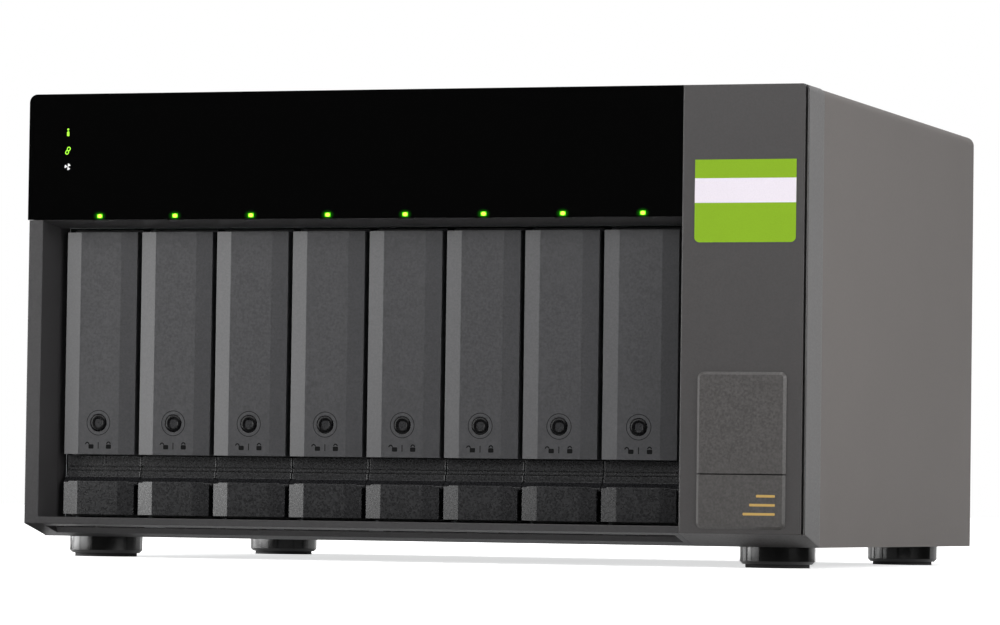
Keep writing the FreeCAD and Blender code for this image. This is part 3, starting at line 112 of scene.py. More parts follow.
class EnclosureColours(bpy.types.PropertyGroup):
    """Colours of the finishes."""

    bezel: colour("Bezel", "Moulded frame round the trays", "323132")
    column: colour("Column", "Moulded column at the right", "3E3C3C")
    plates: colour("Plates", "Two plates on the column", "464443")
    handles: colour("Handles", "Tray handles", "3A3A3C")
    latches: colour("Latches", "Release latches", "1C1C1E")
    cover: colour("Cover", "Painted steel cover", "686462")
    label: colour("Label", "Main colour of the label", "7EA41C")
    label_band: colour("Label band", "Pale band of the label", "DCD5DE")
    gold: colour("Gold", "Metallic ink on the lower plate", "CDAA64")
    lamp: colour("Lamp", "Lit status marks", "96E62E")


class EnclosureStudio(bpy.types.PropertyGroup):
    """Lamps and camera."""

    key_power: power("Key power", "Power of the large lamp at the left", 17.0)
    side_power: power("Side power", "Power of the lamp that lights the right side", 5.0)
    front_power: power("Front power", "Power of the soft lamp above the front", 7.0)
    rim_power: power("Rim power", "Power of the low lamp straight at the left", 15.0)
    top_power: power("Top power", "Power of the lamp overhead", 20.0)
    floor_power: power("Floor power", "Power of the panel on the floor that the feet mirror", 8.0)
    fill: bpy.props.FloatProperty(
        name="Fill", description="Strength of the light from all around", default=0.28, min=0.0,
    )
    lens: bpy.props.FloatProperty(
        name="Lens", description="Focal length of the camera", default=178.2, min=1.0,
        subtype="DISTANCE_CAMERA", unit="CAMERA",
    )


# ---------------------------------------------------------------- materials

def fill(tree, node, inputs):
    """Fills a node's inputs: a socket is linked, and anything else is set as the value."""
    for key, value in inputs.items():
        if isinstance(value, bpy.types.NodeSocket):
            tree.links.new(value, node.inputs[key])
        else:
            node.inputs[key].default_value = value


def add(tree, kind, inputs=None, **settings):
    """Adds a node with its settings and fills its inputs."""
    made = tree.nodes.new(kind)
    for name, value in settings.items():
        setattr(made, name, value)
    fill(tree, made, inputs or {})
    return made


def new_material(name):
    """Material with only a surface shader: itself, its tree, the shader and the object's own place."""
    material = bpy.data.materials.new(name)
    material.use_nodes = True
    tree = material.node_tree
    tree.nodes.clear()
    shader = add(tree, "ShaderNodeBsdfPrincipled")
    add(tree, "ShaderNodeOutputMaterial", {"Surface": shader.outputs["BSDF"]})
    return material, tree, shader, add(tree, "ShaderNodeTexCoord").outputs["Object"]


def per_metre(millimetres):
    """Texture scale that gives features of a size in millimetres."""
    return 1 / (millimetres * MM)


# Noise keeps mostly between these two values, so patterns are spread from them.
NOISE_SPAN = {"From Min": 0.3, "From Max": 0.7}
# Slow clouds in a moulding's or paint's colour: their width in millimetres and their share.
CLOUD_WIDTH = 45
CLOUD_SHARE = 0.015
# How far a grain shifts the roughness each way.
GLOSS_SHIFT = 0.05


def grained(
    name, shade, grain, roughness, ior=1.5, mottle=0.12, depth=0.02, edge=0.18, round_edge=0.25,
    shine=0.5,
):
    """Surface with a fine random grain: its colour, gloss and height all vary with the grain.

    The grain's width and depth are in millimetres, and mottle is the share by which it varies
    the colour. Edges are softened over round_edge millimetres and painted paler by the share edge,
    as a painted edge highlight together with edge wear.
    """
    material, tree, shader, place = new_material(name)
    fine = add(
        tree, "ShaderNodeTexNoise", {"Vector": place, "Scale": per_metre(grain), "Detail": 2.0}
    ).outputs["Fac"]
    cloudy = add(
        tree, "ShaderNodeTexNoise", {"Vector": place, "Scale": per_metre(CLOUD_WIDTH), "Detail": 1.0}
    ).outputs["Fac"]
    level = add(
        tree, "ShaderNodeMapRange",
        {"Value": fine, **NOISE_SPAN, "To Min": 1 - mottle, "To Max": 1 + mottle},
    )
    slow = add(
        tree, "ShaderNodeMapRange",
        {"Value": cloudy, **NOISE_SPAN, "To Min": 1 - CLOUD_SHARE, "To Max": 1 + CLOUD_SHARE},
    )
    both = add(
        tree, "ShaderNodeMath", {0: level.outputs["Result"], 1: slow.outputs["Result"]},
        operation="MULTIPLY",
    )
    soft = add(tree, "ShaderNodeBevel", {"Radius": round_edge * MM}, samples=4)
    flat = add(tree, "ShaderNodeNewGeometry")
    along = add(
        tree, "ShaderNodeVectorMath", {0: soft.outputs["Normal"], 1: flat.outputs["Normal"]},
        operation="DOT_PRODUCT",
    )
    # Edges painted paler by the share edge: a painted highlight along the edges, together with wear.
    edge_highlight_and_wear = add(
        tree, "ShaderNodeMapRange",
        {
            "Value": along.outputs["Value"], "From Min": 0.99, "From Max": 0.8,
            "To Min": 1.0, "To Max": 1 + edge,
        },
    )
    gain = add(
        tree, "ShaderNodeMath", {0: both.outputs["Value"], 1: edge_highlight_and_wear.outputs["Result"]},
        operation="MULTIPLY",
    )
    tint = add(
        tree, "ShaderNodeVectorMath", {0: shade[:3], "Scale": gain.outputs["Value"]}, operation="SCALE"
    )
    gloss = add(
        tree, "ShaderNodeMapRange",
        {
            "Value": fine, **NOISE_SPAN,
            "To Min": roughness - GLOSS_SHIFT, "To Max": roughness + GLOSS_SHIFT,
        },
    )
    bump = add(
        tree, "ShaderNodeBump",
        {"Height": fine, "Strength": 1.0, "Distance": depth * MM, "Normal": soft.outputs["Normal"]},
    )
    fill(tree, shader, {
        "Base Color": tint.outputs["Vector"],
        "Roughness": gloss.outputs["Result"],
        "Normal": bump.outputs["Normal"],
        "IOR": ior,
        "Specular IOR Level": shine,
    })
    return material


# Half of the width of one light pipe.
LIGHT_HALF = 1.2 * MM


def from_nearest_light(tree, place, squeeze):
    """Distance to the nearest light pipe in the plane of the front, squeezed sideways."""
    low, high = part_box("drive_lights")
    first = low.x + LIGHT_HALF
    pitch = (high.x - low.x - 2 * LIGHT_HALF) / (TRAYS - 1)
    apart = add(tree, "ShaderNodeSeparateXYZ", {"Vector": place})
    along = add(tree, "ShaderNodeMath", {0: apart.outputs["X"], 1: first}, operation="SUBTRACT")
    share = add(tree, "ShaderNodeMath", {0: along.outputs["Value"], 1: pitch}, operation="DIVIDE")
    near = add(tree, "ShaderNodeMath", {0: share.outputs["Value"]}, operation="ROUND")
    kept = add(tree, "ShaderNodeClamp", {"Value": near.outputs["Value"], "Min": 0.0, "Max": TRAYS - 1.0})
    spot = add(tree, "ShaderNodeMath", {0: kept.outputs["Result"], 1: pitch}, operation="MULTIPLY")
    aside = add(
        tree, "ShaderNodeMath", {0: along.outputs["Value"], 1: spot.outputs["Value"]},
        operation="SUBTRACT",
    )
    narrow = add(tree, "ShaderNodeMath", {0: aside.outputs["Value"], 1: squeeze}, operation="MULTIPLY")
    over = add(
        tree, "ShaderNodeMath", {0: apart.outputs["Z"], 1: (low.z + high.z) / 2}, operation="SUBTRACT"
    )
    reach = add(tree, "ShaderNodeCombineXYZ", {"X": narrow.outputs["Value"], "Y": over.outputs["Value"]})
    far = add(tree, "ShaderNodeVectorMath", {0: reach.outputs["Vector"]}, operation="LENGTH")
    return far.outputs["Value"]


def light_pipe():
    """Clear acrylic light pipe lit from behind: yellow-green at its middle, green at its rim."""
    material, tree, shader, place = new_material("acrylic_light_pipe")
    rim = add(
        tree, "ShaderNodeMapRange",
        {"Value": from_nearest_light(tree, place, 0.8), "From Min": 0.35 * MM, "From Max": 1.1 * MM},
        interpolation_type="SMOOTHSTEP",
    )
    tone = add(tree, "ShaderNodeValToRGB", {"Fac": rim.outputs["Result"]})
    tone.color_ramp.elements[0].color = linear("F2FF52")
    tone.color_ramp.elements[1].color = linear("2FC800")
    level = add(
        tree, "ShaderNodeMapRange", {"Value": rim.outputs["Result"], "To Min": 2.2, "To Max": 0.8}
    )
    fill(tree, shader, {
        "Emission Color": tone.outputs["Color"],
        "Emission Strength": level.outputs["Result"],
        "Base Color": linear("2FC800"),
        "IOR": 1.49,
        "Roughness": 0.2,
    })
    return material


def gloss_acrylic():
    """Black acrylic sheet, polished: near black with a clear mirror-like skin."""
    material, tree, shader, place = new_material("gloss_acrylic_black")
    ripple = add(tree, "ShaderNodeTexNoise", {"Vector": place, "Scale": per_metre(90), "Detail": 1.0})
    dust = add(tree, "ShaderNodeTexNoise", {"Vector": place, "Scale": per_metre(0.9), "Detail": 1.0})
    haze = add(
        tree, "ShaderNodeMapRange",
        {
            "Value": dust.outputs["Fac"], "From Min": 0.45, "From Max": 0.8,
            "To Min": 0.04, "To Max": 0.09,
        },
    )
    bump = add(tree, "ShaderNodeBump", {"Height": ripple.outputs["Fac"], "Distance": 0.01 * MM})
    # Light from each light pipe bleeds a few millimetres into the sheet round its window.
    glow = add(
        tree, "ShaderNodeMapRange",
        {
            "Value": from_nearest_light(tree, place, 0.7), "From Min": 0.6 * MM, "From Max": 2.2 * MM,
            "To Min": 0.3, "To Max": 0.0,
        },
        interpolation_type="SMOOTHERSTEP",
    )
    fill(tree, shader, {
        "Roughness": haze.outputs["Result"],
        "Normal": bump.outputs["Normal"],
        "Emission Strength": glow.outputs["Result"],
        "Emission Color": linear("1FA000"),
        "Base Color": linear("040404"),
        "IOR": 1.49,
        "Specular IOR Level": 0.3,
    })
    return material


def glowing(name, shade, strength):
    """Clear plastic lit from behind: an even glow with a fine frosting."""
    material, tree, shader, place = new_material(name)
    frost = add(tree, "ShaderNodeTexNoise", {"Vector": place, "Scale": per_metre(0.4)})
    level = add(
        tree, "ShaderNodeMapRange",
        {"Value": frost.outputs["Fac"], "To Min": strength * 0.8, "To Max": strength * 1.2},
    )
    fill(tree, shader, {
        "Emission Strength": level.outputs["Result"],
        "Emission Color": shade,
        "Base Color": shade,
        "Roughness": 0.3,
    })
    return material


def polished(name, code, gloss):
    """Black part with a polished skin: its gloss drifts a little, as flow marks do."""
    material, tree, shader, place = new_material(name)
    flow = add(tree, "ShaderNodeTexNoise", {"Vector": place, "Scale": per_metre(6), "Detail": 2.0})
    haze = add(
        tree, "ShaderNodeMapRange",
        {"Value": flow.outputs["Fac"], **NOISE_SPAN, "To Min": gloss, "To Max": gloss + 0.06},
    )
    fill(tree, shader, {
        "Roughness": haze.outputs["Result"],
        "Base Color": linear(code),
        "IOR": 1.54,
    })
    return material


def plated(name, code, roughness, spangle=6.0, brushed=False):
    """Zinc or nickel plated metal: cloudy spangle, or fine brush lines along the sheet."""
    material, tree, shader, place = new_material(name)
    if brushed:
        # Brush lines are drawn about three times as wide as real ones so that they show.
        stretch = add(tree, "ShaderNodeMapping", {"Vector": place, "Scale": (1.0, 0.02, 1.0)})
        cells = add(
            tree, "ShaderNodeTexNoise",
            {"Vector": stretch.outputs["Vector"], "Scale": per_metre(0.35), "Detail": 2.0},
        )
        pattern = cells.outputs["Fac"]
    else:
        cells = add(tree, "ShaderNodeTexVoronoi", {"Vector": place, "Scale": per_metre(spangle)})
        pattern = add(
            tree, "ShaderNodeSeparateColor", {"Color": cells.outputs["Color"]}
        ).outputs["Red"]
    shift = add(tree, "ShaderNodeMapRange", {"Value": pattern, "To Min": 0.9, "To Max": 1.08})
    tint = add(
        tree, "ShaderNodeVectorMath", {0: linear(code)[:3], "Scale": shift.outputs["Result"]},
        operation="SCALE",
    )
    gloss = add(
        tree, "ShaderNodeMapRange",
        {"Value": pattern, "To Min": roughness - 0.05, "To Max": roughness + 0.07},
    )
    soft = add(tree, "ShaderNodeBevel", {"Radius": 0.2 * MM}, samples=4)
    fill(tree, shader, {
        "Base Color": tint.outputs["Vector"],
        "Roughness": gloss.outputs["Result"],
        "Normal": soft.outputs["Normal"],
        "Metallic": 1.0,
    })
    return material


def circuit_board():
    """Green solder mask over copper: tracks show as slightly raised paler lines."""
    material, tree, shader, place = new_material("solder_mask_green")
    tracks = add(
        tree, "ShaderNodeTexBrick",
        {
            "Vector": place, "Scale": per_metre(14), "Mortar Size": 0.035, "Mortar Smooth": 0.4,
            "Color1": linear("0F4A2C"), "Color2": linear("0C4026"), "Mortar": linear("2C7A4A"),
        },
    )
    bump = add(
        tree, "ShaderNodeBump", {"Height": tracks.outputs["Fac"], "Distance": 0.03 * MM}
    )
    fill(tree, shader, {
        "Base Color": tracks.outputs["Color"],
        "Normal": bump.outputs["Normal"],
        "Roughness": 0.35,
    })
    return material


def printed(name, shade, roughness, metallic=0.0, shine=0.5):
    """Screen-printed ink or vinyl: even colour with a faint dot screen."""
    material, tree, shader, place = new_material(name)
    dots = add(tree, "ShaderNodeTexVoronoi", {"Vector": place, "Scale": per_metre(0.5)})
    shift = add(
        tree, "ShaderNodeMapRange", {"Value": dots.outputs["Distance"], "To Min": 1.03, "To Max": 0.95}
    )
    tint = add(
        tree, "ShaderNodeVectorMath", {0: shade[:3], "Scale": shift.outputs["Result"]},
        operation="SCALE",
    )
    bump = add(tree, "ShaderNodeBump", {"Height": dots.outputs["Distance"], "Distance": 0.003 * MM})
    fill(tree, shader, {
        "Base Color": tint.outputs["Vector"],
        "Normal": bump.outputs["Normal"],
        "Roughness": roughness,
        "Metallic": metallic,
        "Specular IOR Level": shine,
    })
    return material


def make_finishes():
    """Every finish, by the name of the record's slot that it belongs to."""
    shades = bpy.context.scene.enclosure_colours
    return {
        # ABS moulded in a spark-eroded tool: a dull, even grain over the whole face.
        "bezel_plastic": grained(
            "moulded_abs_bezel", shades.bezel[:], 0.8, 0.38, depth=0.014, round_edge=0.45
        ),
        "column_plastic": grained(
            "moulded_abs_column", shades.column[:], 0.8, 0.4, mottle=0.07, depth=0.014, round_edge=0.8
        ),
        # The plates carry a stronger grain than the column that they sit on.
        "plate_plastic": grained(
            "moulded_abs_plates", shades.plates[:], 0.85, 0.36, mottle=0.2, edge=0.0, depth=0.012
        ),
        # Handles and latches are glossier, so their bevels shine where the flats stay dull.
        "handle_plastic": grained(
            "moulded_abs_handles", shades.handles[:], 0.8, 0.34, mottle=0.16, depth=0.012, shine=0.65
        ),
        "latch_plastic": grained(
            "moulded_abs_latches", shades.latches[:], 0.8, 0.28, mottle=0.35, depth=0.012, shine=0.8
        ),
        "carrier_plastic": grained("moulded_abs_carriers", linear("262628"), 0.8, 0.5),
        # Acrylic: black and mirror-like as a sheet, and glowing as a light pipe.
        "gloss_panel": gloss_acrylic(),
        "light_lens": light_pipe(),
        # Powder coat on steel: a low orange peel and a fleck of lighter powder.
        "cover_paint": grained(
            "powder_coat_warm_grey", shades.cover[:], 1.1, 0.58, mottle=0.09, edge=0.1, shine=0.1
        ),
        "rear_paint": grained(
            "powder_coat_dark_grey", linear("2B2A2A"), 1.1, 0.52, mottle=0.08, depth=0.03, edge=0.1
        ),
        # Zinc coats show a cloudy spangle, and nickel shows the brush lines under it.
        "pan_steel": plated("galvanised_steel", "A9ACAE", 0.42),
        "cage_steel": plated("galvanised_steel_cage", "A4A7A9", 0.4),
        "supply_steel": plated("zinc_plated_steel", "9DA0A3", 0.38, spangle=9.0),
        "socket_steel": plated("nickel_plated_socket", "B9B6AE", 0.25, brushed=True),
        "guard_wire": plated("nickel_plated_wire", "BDBDBA", 0.22, brushed=True),
        # Black-dyed, polished barrel: a dark mirror with a sharp highlight.
        "lock_metal": polished("polished_lock_barrel", "070708", 0.1),
        "circuit_board": circuit_board(),
        # Glass-filled plastics: the fibres leave a dry, slightly uneven skin.
        "connector_plastic": grained("glass_filled_nylon", linear("151516"), 0.6, 0.5),
        "inlet_plastic": grained("pbt_inlet_black", linear("121213"), 0.7, 0.42),
        "fan_plastic": grained("glass_filled_pbt_frame", linear("1B1B1C"), 1.0, 0.45),
        "rotor_plastic": grained("glass_filled_pbt_rotor", linear("161617"), 1.0, 0.4),
        # Polished black ABS: lamps show in it as crisp white streaks.
        "foot_gloss": polished("gloss_abs_feet", "050505", 0.07),
        # Moulded rubber: dull all over, with a deep grain.
        "foot_rubber": grained("moulded_rubber", linear("101011"), 0.9, 0.78, ior=1.52, depth=0.05),
        "button_plastic": grained("moulded_abs_button", linear("1D1D1E"), 0.6, 0.4),
    }


FINISHES = {}


def finish_nodes(*slots):
    """Gives the CAD nodes of some slots their finish."""
    if not FINISHES:
        FINISHES.update(make_finishes())
    for node in NODES.values():
        for holder in node.material_slots:
            slot = holder.material.name.split(".")[0] if holder.material else None
            if slot in slots:
                holder.material = FINISHES[slot]


# ---------------------------------------------------------------- meshes

# Edges of a smooth piece that turn by more than this stay sharp.
SHARP_ANGLE = math.radians(35)


def new_piece(name, mesh, material, body, smooth=False):
    """Object made of a finished bmesh, with its material and body."""
    data = bpy.data.meshes.new(name)
    bmesh.ops.recalc_face_normals(mesh, faces=mesh.faces)
    mesh.to_mesh(data)
    mesh.free()
    data.materials.append(material)
    piece = bpy.data.objects.new(name, data)
    bpy.context.scene.collection.objects.link(piece)
    if smooth:
        data.shade_smooth()
        data.set_sharp_from_angle(angle=SHARP_ANGLE)
    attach(piece, body)
    return piece


def extrude_front(mesh, loops, front, thickness):
    """Adds a flat shape with holes that faces the front: its loops are lists of (x, z)."""
    edges = []
    for loop in loops:
        corners = [mesh.verts.new((x, front, z)) for x, z in loop]
        for index, corner in enumerate(corners):
            edges.append(mesh.edges.new((corner, corners[(index + 1) % len(corners)])))
    filled = bmesh.ops.triangle_fill(mesh, use_beauty=True, edges=edges)
    faces = [part for part in filled["geom"] if isinstance(part, bmesh.types.BMFace)]
    raised = bmesh.ops.extrude_face_region(mesh, geom=faces)
    moved = [part for part in raised["geom"] if isinstance(part, bmesh.types.BMVert)]
    bmesh.ops.translate(mesh, verts=moved, vec=(0, thickness, 0))


def rounded(x_low, x_high, z_low, z_high, radius, corners="all", steps=6):
    """Rectangle as (x, z) points, with round corners at the bottom only or all round."""
    points = []
    for x, z, start in (
        (x_low, z_low, 180), (x_high, z_low, 270), (x_high, z_high, 0), (x_low, z_high, 90)
    ):
        if corners == "bottom" and z == z_high:
            points.append((x, z))
            continue
        centre_x = x + radius if x == x_low else x - radius
        centre_z = z + radius if z == z_low else z - radius
        for step in range(steps + 1):
            angle = math.radians(start + 90 * step / steps)
            points.append((centre_x + radius * math.cos(angle), centre_z + radius * math.sin(angle)))
    return points


def circle(x, z, radius, count):
    """Circle as (x, z) points."""
    return [
        (x + radius * math.cos(2 * math.pi * step / count),
         z + radius * math.sin(2 * math.pi * step / count))
        for step in range(count)
    ]


def lathe(mesh, profile, centre, direction, count):
    """Adds a turned form: the profile is (radius, distance along the direction) points."""
    turned = Vector((0, 0, 1)).rotation_difference(Vector(direction)).to_matrix()
    rings = []
    for radius, along in profile:
        ring = []
        for step in range(count if radius > 0 else 1):
            angle = 2 * math.pi * step / count
            spot = Vector((radius * math.cos(angle), radius * math.sin(angle), along))
            ring.append(mesh.verts.new(Vector(centre) + turned @ spot))
        rings.append(ring)
    for first, second in zip(rings, rings[1:]):
        for step in range(count):
            following = (step + 1) % count
            corners = [
                first[step % len(first)], first[following % len(first)],
                second[following % len(second)], second[step % len(second)],
            ]
            unique = list(dict.fromkeys(corners))
            if len(unique) > 2:
                mesh.faces.new(unique)


def bridge(mesh, first, second):
    """Joins two rings of as many corners with a band of four-sided faces."""
    for step in range(len(first)):
        following = (step + 1) % len(first)
        mesh.faces.new((first[step], first[following], second[following], second[step]))


def wire_ring(mesh, points, radius, sides=8):
    """Adds a closed ring of round wire through points that lie in one plane across Y."""
    out = Vector((0, 1, 0))
    rings = []
    for index, point in enumerate(points):
        after = points[(index + 1) % len(points)]
        run = (Vector(after) - Vector(points[index - 1])).normalized()
        aside = run.cross(out).normalized()
        ring = []
        for step in range(sides):
            angle = 2 * math.pi * step / sides
            around = math.cos(angle) * aside + math.sin(angle) * out
            ring.append(mesh.verts.new(Vector(point) + radius * around))
        rings.append(ring)
    for first, second in zip(rings, rings[1:] + rings[:1]):
        bridge(mesh, first, second)


# ---------------------------------------------------------------- the front

def front_face():
    """Y of the plane of the front face."""
    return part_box("display_panel")[0].y


class ENCLOSURE_OT_front(bpy.types.Operator):
    """Finishes the moulded frame, the column and its plates."""

    bl_idname = "enclosure.front"
    bl_label = "Front mouldings"

    def execute(self, context):
        finish_nodes("bezel_plastic", "column_plastic", "plate_plastic")
        return {"FINISHED"}


# Status marks: how far they lie in from the panel's left edge, and down from its top.
MARKS_IN = 17.25 * MM
POWER_DOWN = 16.0 * MM
LINK_DOWN = 23.15 * MM
FAN_DOWN = 29.7 * MM


def power_mark(x, z, front, ink):
    """Dot over a short bar."""
    dot_rise, dot_radius = 1.5 * MM, 0.42 * MM
    bar_half, bar_below, bar_above, bar_corner = 0.5 * MM, 1.2 * MM, 0.7 * MM, 0.35 * MM
    mesh = bmesh.new()
    extrude_front(mesh, [circle(x, z + dot_rise, dot_radius, 16)], front, ink)
    bar = rounded(x - bar_half, x + bar_half, z - bar_below, z + bar_above, bar_corner)
    extrude_front(mesh, [bar], front, ink)
    return mesh


def link_mark(x, z, front, ink):
    """Two leaning links of a chain, one over the other."""
    outer, inner, stretch, lean_angle = 0.78, 0.46, 0.12, -27
    lean = Matrix.Rotation(math.radians(lean_angle), 2)
    mesh = bmesh.new()
    for shift in (-outer, outer):
        loops = []
        for half in (outer, inner):
            outline = rounded(
                -half * MM, half * MM, (shift - half - stretch) * MM, (shift + half + stretch) * MM,
                half * 0.95 * MM,
            )
            turned = [lean @ Vector(point) for point in outline]
            loops.append([(x + point.x, z + point.y) for point in turned])
        extrude_front(mesh, loops, front, ink)
    return mesh


def fan_mark(x, z, front, ink):
    """Three fan blades."""
    blades, first_angle, blade_span, blade_step, reach = 3, 20, 66, 13, 1.35 * MM
    mesh = bmesh.new()
    for blade in range(blades):
        start = math.radians(360 // blades * blade + first_angle)
        outline = [(x, z)] + [
            (x + reach * math.cos(start + math.radians(angle)),
             z + reach * math.sin(start + math.radians(angle)))
            for angle in range(0, blade_span, blade_step)
        ]
        extrude_front(mesh, [outline], front, ink)
    return mesh


class ENCLOSURE_OT_display(bpy.types.Operator):
    """Finishes the gloss panel and its light pipes and adds the lit status marks."""

    bl_idname = "enclosure.display"
    bl_label = "Display panel"

    def execute(self, context):
        finish_nodes("gloss_panel", "light_lens")
        ink = context.scene.enclosure_sizes.ink
        low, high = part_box("display_panel")
        green = glowing("status_mark_green", context.scene.enclosure_colours.lamp[:], 0.75)
        # The fan mark's pale grey is a painted glow of its own, from emission.
        grey = glowing("status_mark_grey", linear("C8C8C8"), 0.4)
        for name, mark, down, glow in (
            ("status_power", power_mark, POWER_DOWN, green),
            ("status_link", link_mark, LINK_DOWN, green),
            ("status_fan", fan_mark, FAN_DOWN, grey),
        ):
            mesh = mark(low.x + MARKS_IN, high.z - down, low.y - ink, ink)
            new_piece(name, mesh, glow, "case")
        return {"FINISHED"}


# Label: how far it lies in from the column's left edge and down from its top, and its band.
LABEL_IN = 5.0 * MM
LABEL_DOWN = 29.3 * MM
BAND_RISE = 15.4 * MM
BAND_HEIGHT = 9.6 * MM
BAND_CORNER = 0.02 * MM


class ENCLOSURE_OT_label(bpy.types.Operator):
    """Puts the plain vinyl label on the column."""

    bl_idname = "enclosure.label"
    bl_label = "Label"

    def execute(self, context):
        sizes = context.scene.enclosure_sizes
        shades = context.scene.enclosure_colours
        low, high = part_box("right_column")
        left = low.x + LABEL_IN
        right = left + sizes.label_width
        top = high.z - LABEL_DOWN
        bottom = top - sizes.label_height
        vinyl = printed("vinyl_sticker_green", shades.label[:], 0.5, shine=0.15)
        white = printed("vinyl_sticker_band", shades.label_band[:], 0.5, shine=0.15)
        sticker = bmesh.new()
        outline = rounded(left, right, bottom, top, sizes.label_corner, corners="bottom")
        extrude_front(sticker, [outline], front_face() - sizes.sticker, sizes.sticker)
        new_piece("label_sheet", sticker, vinyl, "case")
        band = bmesh.new()
        band_low = bottom + BAND_RISE
        outline = rounded(left, right, band_low, band_low + BAND_HEIGHT, BAND_CORNER, steps=1)
        extrude_front(band, [outline], front_face() - sizes.sticker - sizes.ink, sizes.ink)
        new_piece("label_band", band, white, "case")
        return {"FINISHED"}


# Gold bars: each bar's width and its height above the plate's lower edge, in millimetres.
BARS = ((7.6, 12.5), (10.3, 9.0), (12.9, 5.5))
BARS_IN = 3.9 * MM
BAR_HEIGHT = 1.0 * MM
BAR_CORNER = 0.3 * MM


class ENCLOSURE_OT_plate_print(bpy.types.Operator):
    """Prints three plain gold bars on the lower plate."""

    bl_idname = "enclosure.plate_print"
    bl_label = "Gold bars"

    def execute(self, context):
        ink = context.scene.enclosure_sizes.ink
        shade = context.scene.enclosure_colours.gold[:]
        gold = printed("metallic_ink_gold", shade, 0.35, metallic=0.4)
        low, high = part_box("name_plate")
        right = high.x - BARS_IN
        bars = bmesh.new()
        for width, level in BARS:
            z = low.z + level * MM
            outline = rounded(right - width * MM, right, z, z + BAR_HEIGHT, BAR_CORNER, steps=3)
            # Half of the ink's thickness is sunk in the plate.
            extrude_front(bars, [outline], low.y - ink / 2, ink)
        new_piece("gold_bars", bars, gold, "case")
        return {"FINISHED"}


# ---------------------------------------------------------------- trays

# Printed marks under a lock: their rise over the handle's lower edge, the padlocks' places left
# and right of the middle, and the bar between them.
MARKS_RISE = 2.3 * MM
OPEN_MARK_LEFT = 3.1 * MM
SHUT_MARK_RIGHT = 4.6 * MM
MARK_BAR_LEFT = 0.1 * MM
MARK_BAR_RIGHT = 0.25 * MM
MARK_BAR_HEIGHT = 2.7 * MM
MARK_BAR_CORNER = 0.1 * MM

# Key lock: the rim's profile as shares of its radius and rises in millimetres, the rises of its
# square opening's wall, and the insert behind that opening.
CROWN_RADIUS = 3.5 * MM
CROWN_PROFILE = ((1.0, 0.0), (0.93, 0.16), (0.8, 0.25), (0.62, 0.27), (0.5, 0.2))
OPENING_HALF = 1.55 * MM
OPENING_RISES = (0.14, 0.0)
INSERT_HALF = 1.7 * MM
INSERT_CORNER = 0.3 * MM
INSERT_RISE = 0.1 * MM
INSERT_THICKNESS = 0.08 * MM


def padlock(mesh, x, z, height, front, ink, is_open):
    """Adds a printed padlock: a body and a shackle that is swung aside when open.

    Its proportions are shares of its height.
    """
    body = height * 0.52
    half = height * 0.33
    extrude_front(mesh, [rounded(x - half, x + half, z, z + body, 0.12 * height)], front, ink)
    shackle_x = x - half * 1.5 if is_open else x
    outer = half * 0.86
    inner = outer - 0.13 * height
    base = z + body + (0.0 if is_open else 0.06 * height)
    sweep = [math.radians(step) for step in range(0, 181, 15)]
    arch = [(shackle_x + outer * math.cos(a), base + outer * math.sin(a) * 1.05) for a in sweep]
    arch += [(shackle_x + inner * math.cos(a), base + inner * math.sin(a)) for a in reversed(sweep)]
    extrude_front(mesh, [arch], front, ink)


def lock_marks(x, z, front, sizes):
    """Open padlock, bar and shut padlock in a row."""
    mesh = bmesh.new()
    padlock(mesh, x - OPEN_MARK_LEFT, z, sizes.mark_height, front, sizes.ink, True)
    padlock(mesh, x + SHUT_MARK_RIGHT, z, sizes.mark_height, front, sizes.ink, False)
    bar = rounded(
        x - MARK_BAR_LEFT, x + MARK_BAR_RIGHT, z, z + MARK_BAR_HEIGHT, MARK_BAR_CORNER, steps=2
    )
    extrude_front(mesh, [bar], front, sizes.ink)
    return mesh


def lock_ring(x, z, front, sizes):
    """Thin ring round a lock, which shows as the shadow of a groove."""
    inner = sizes.ring_radius - sizes.ring_wire
    mesh = bmesh.new()
    loops = [circle(x, z, radius, 48) for radius in (sizes.ring_radius, inner)]
    extrude_front(mesh, loops, front, sizes.ink)
    return mesh


def key_crown(x, z, front, count=32):
    """Domed rim of a key lock, from its round edge in to its square key opening."""
    mesh = bmesh.new()
    loops = []
    for share, rise in CROWN_PROFILE:
        outline = circle(x, z, CROWN_RADIUS * share, count)
        loops.append([mesh.verts.new((px, front - rise * MM, pz)) for px, pz in outline])
    for rise in OPENING_RISES:
        corners = []
        for step in range(count):
            angle = 2 * math.pi * step / count
            across, up = math.cos(angle), math.sin(angle)
            reach = OPENING_HALF / max(abs(across), abs(up))
            corners.append(mesh.verts.new((x + reach * across, front - rise * MM, z + reach * up)))
        loops.append(corners)
    for first, second in zip(loops, loops[1:]):
        bridge(mesh, first, second)
    return mesh


def key_insert(x, z, front):
    """Square plate in the key opening, which carries the painted reflection of its face."""
    mesh = bmesh.new()
    square = rounded(
        x - INSERT_HALF, x + INSERT_HALF, z - INSERT_HALF, z + INSERT_HALF, INSERT_CORNER, steps=3
    )
    extrude_front(mesh, [square], front - INSERT_RISE, INSERT_THICKNESS)
    return mesh


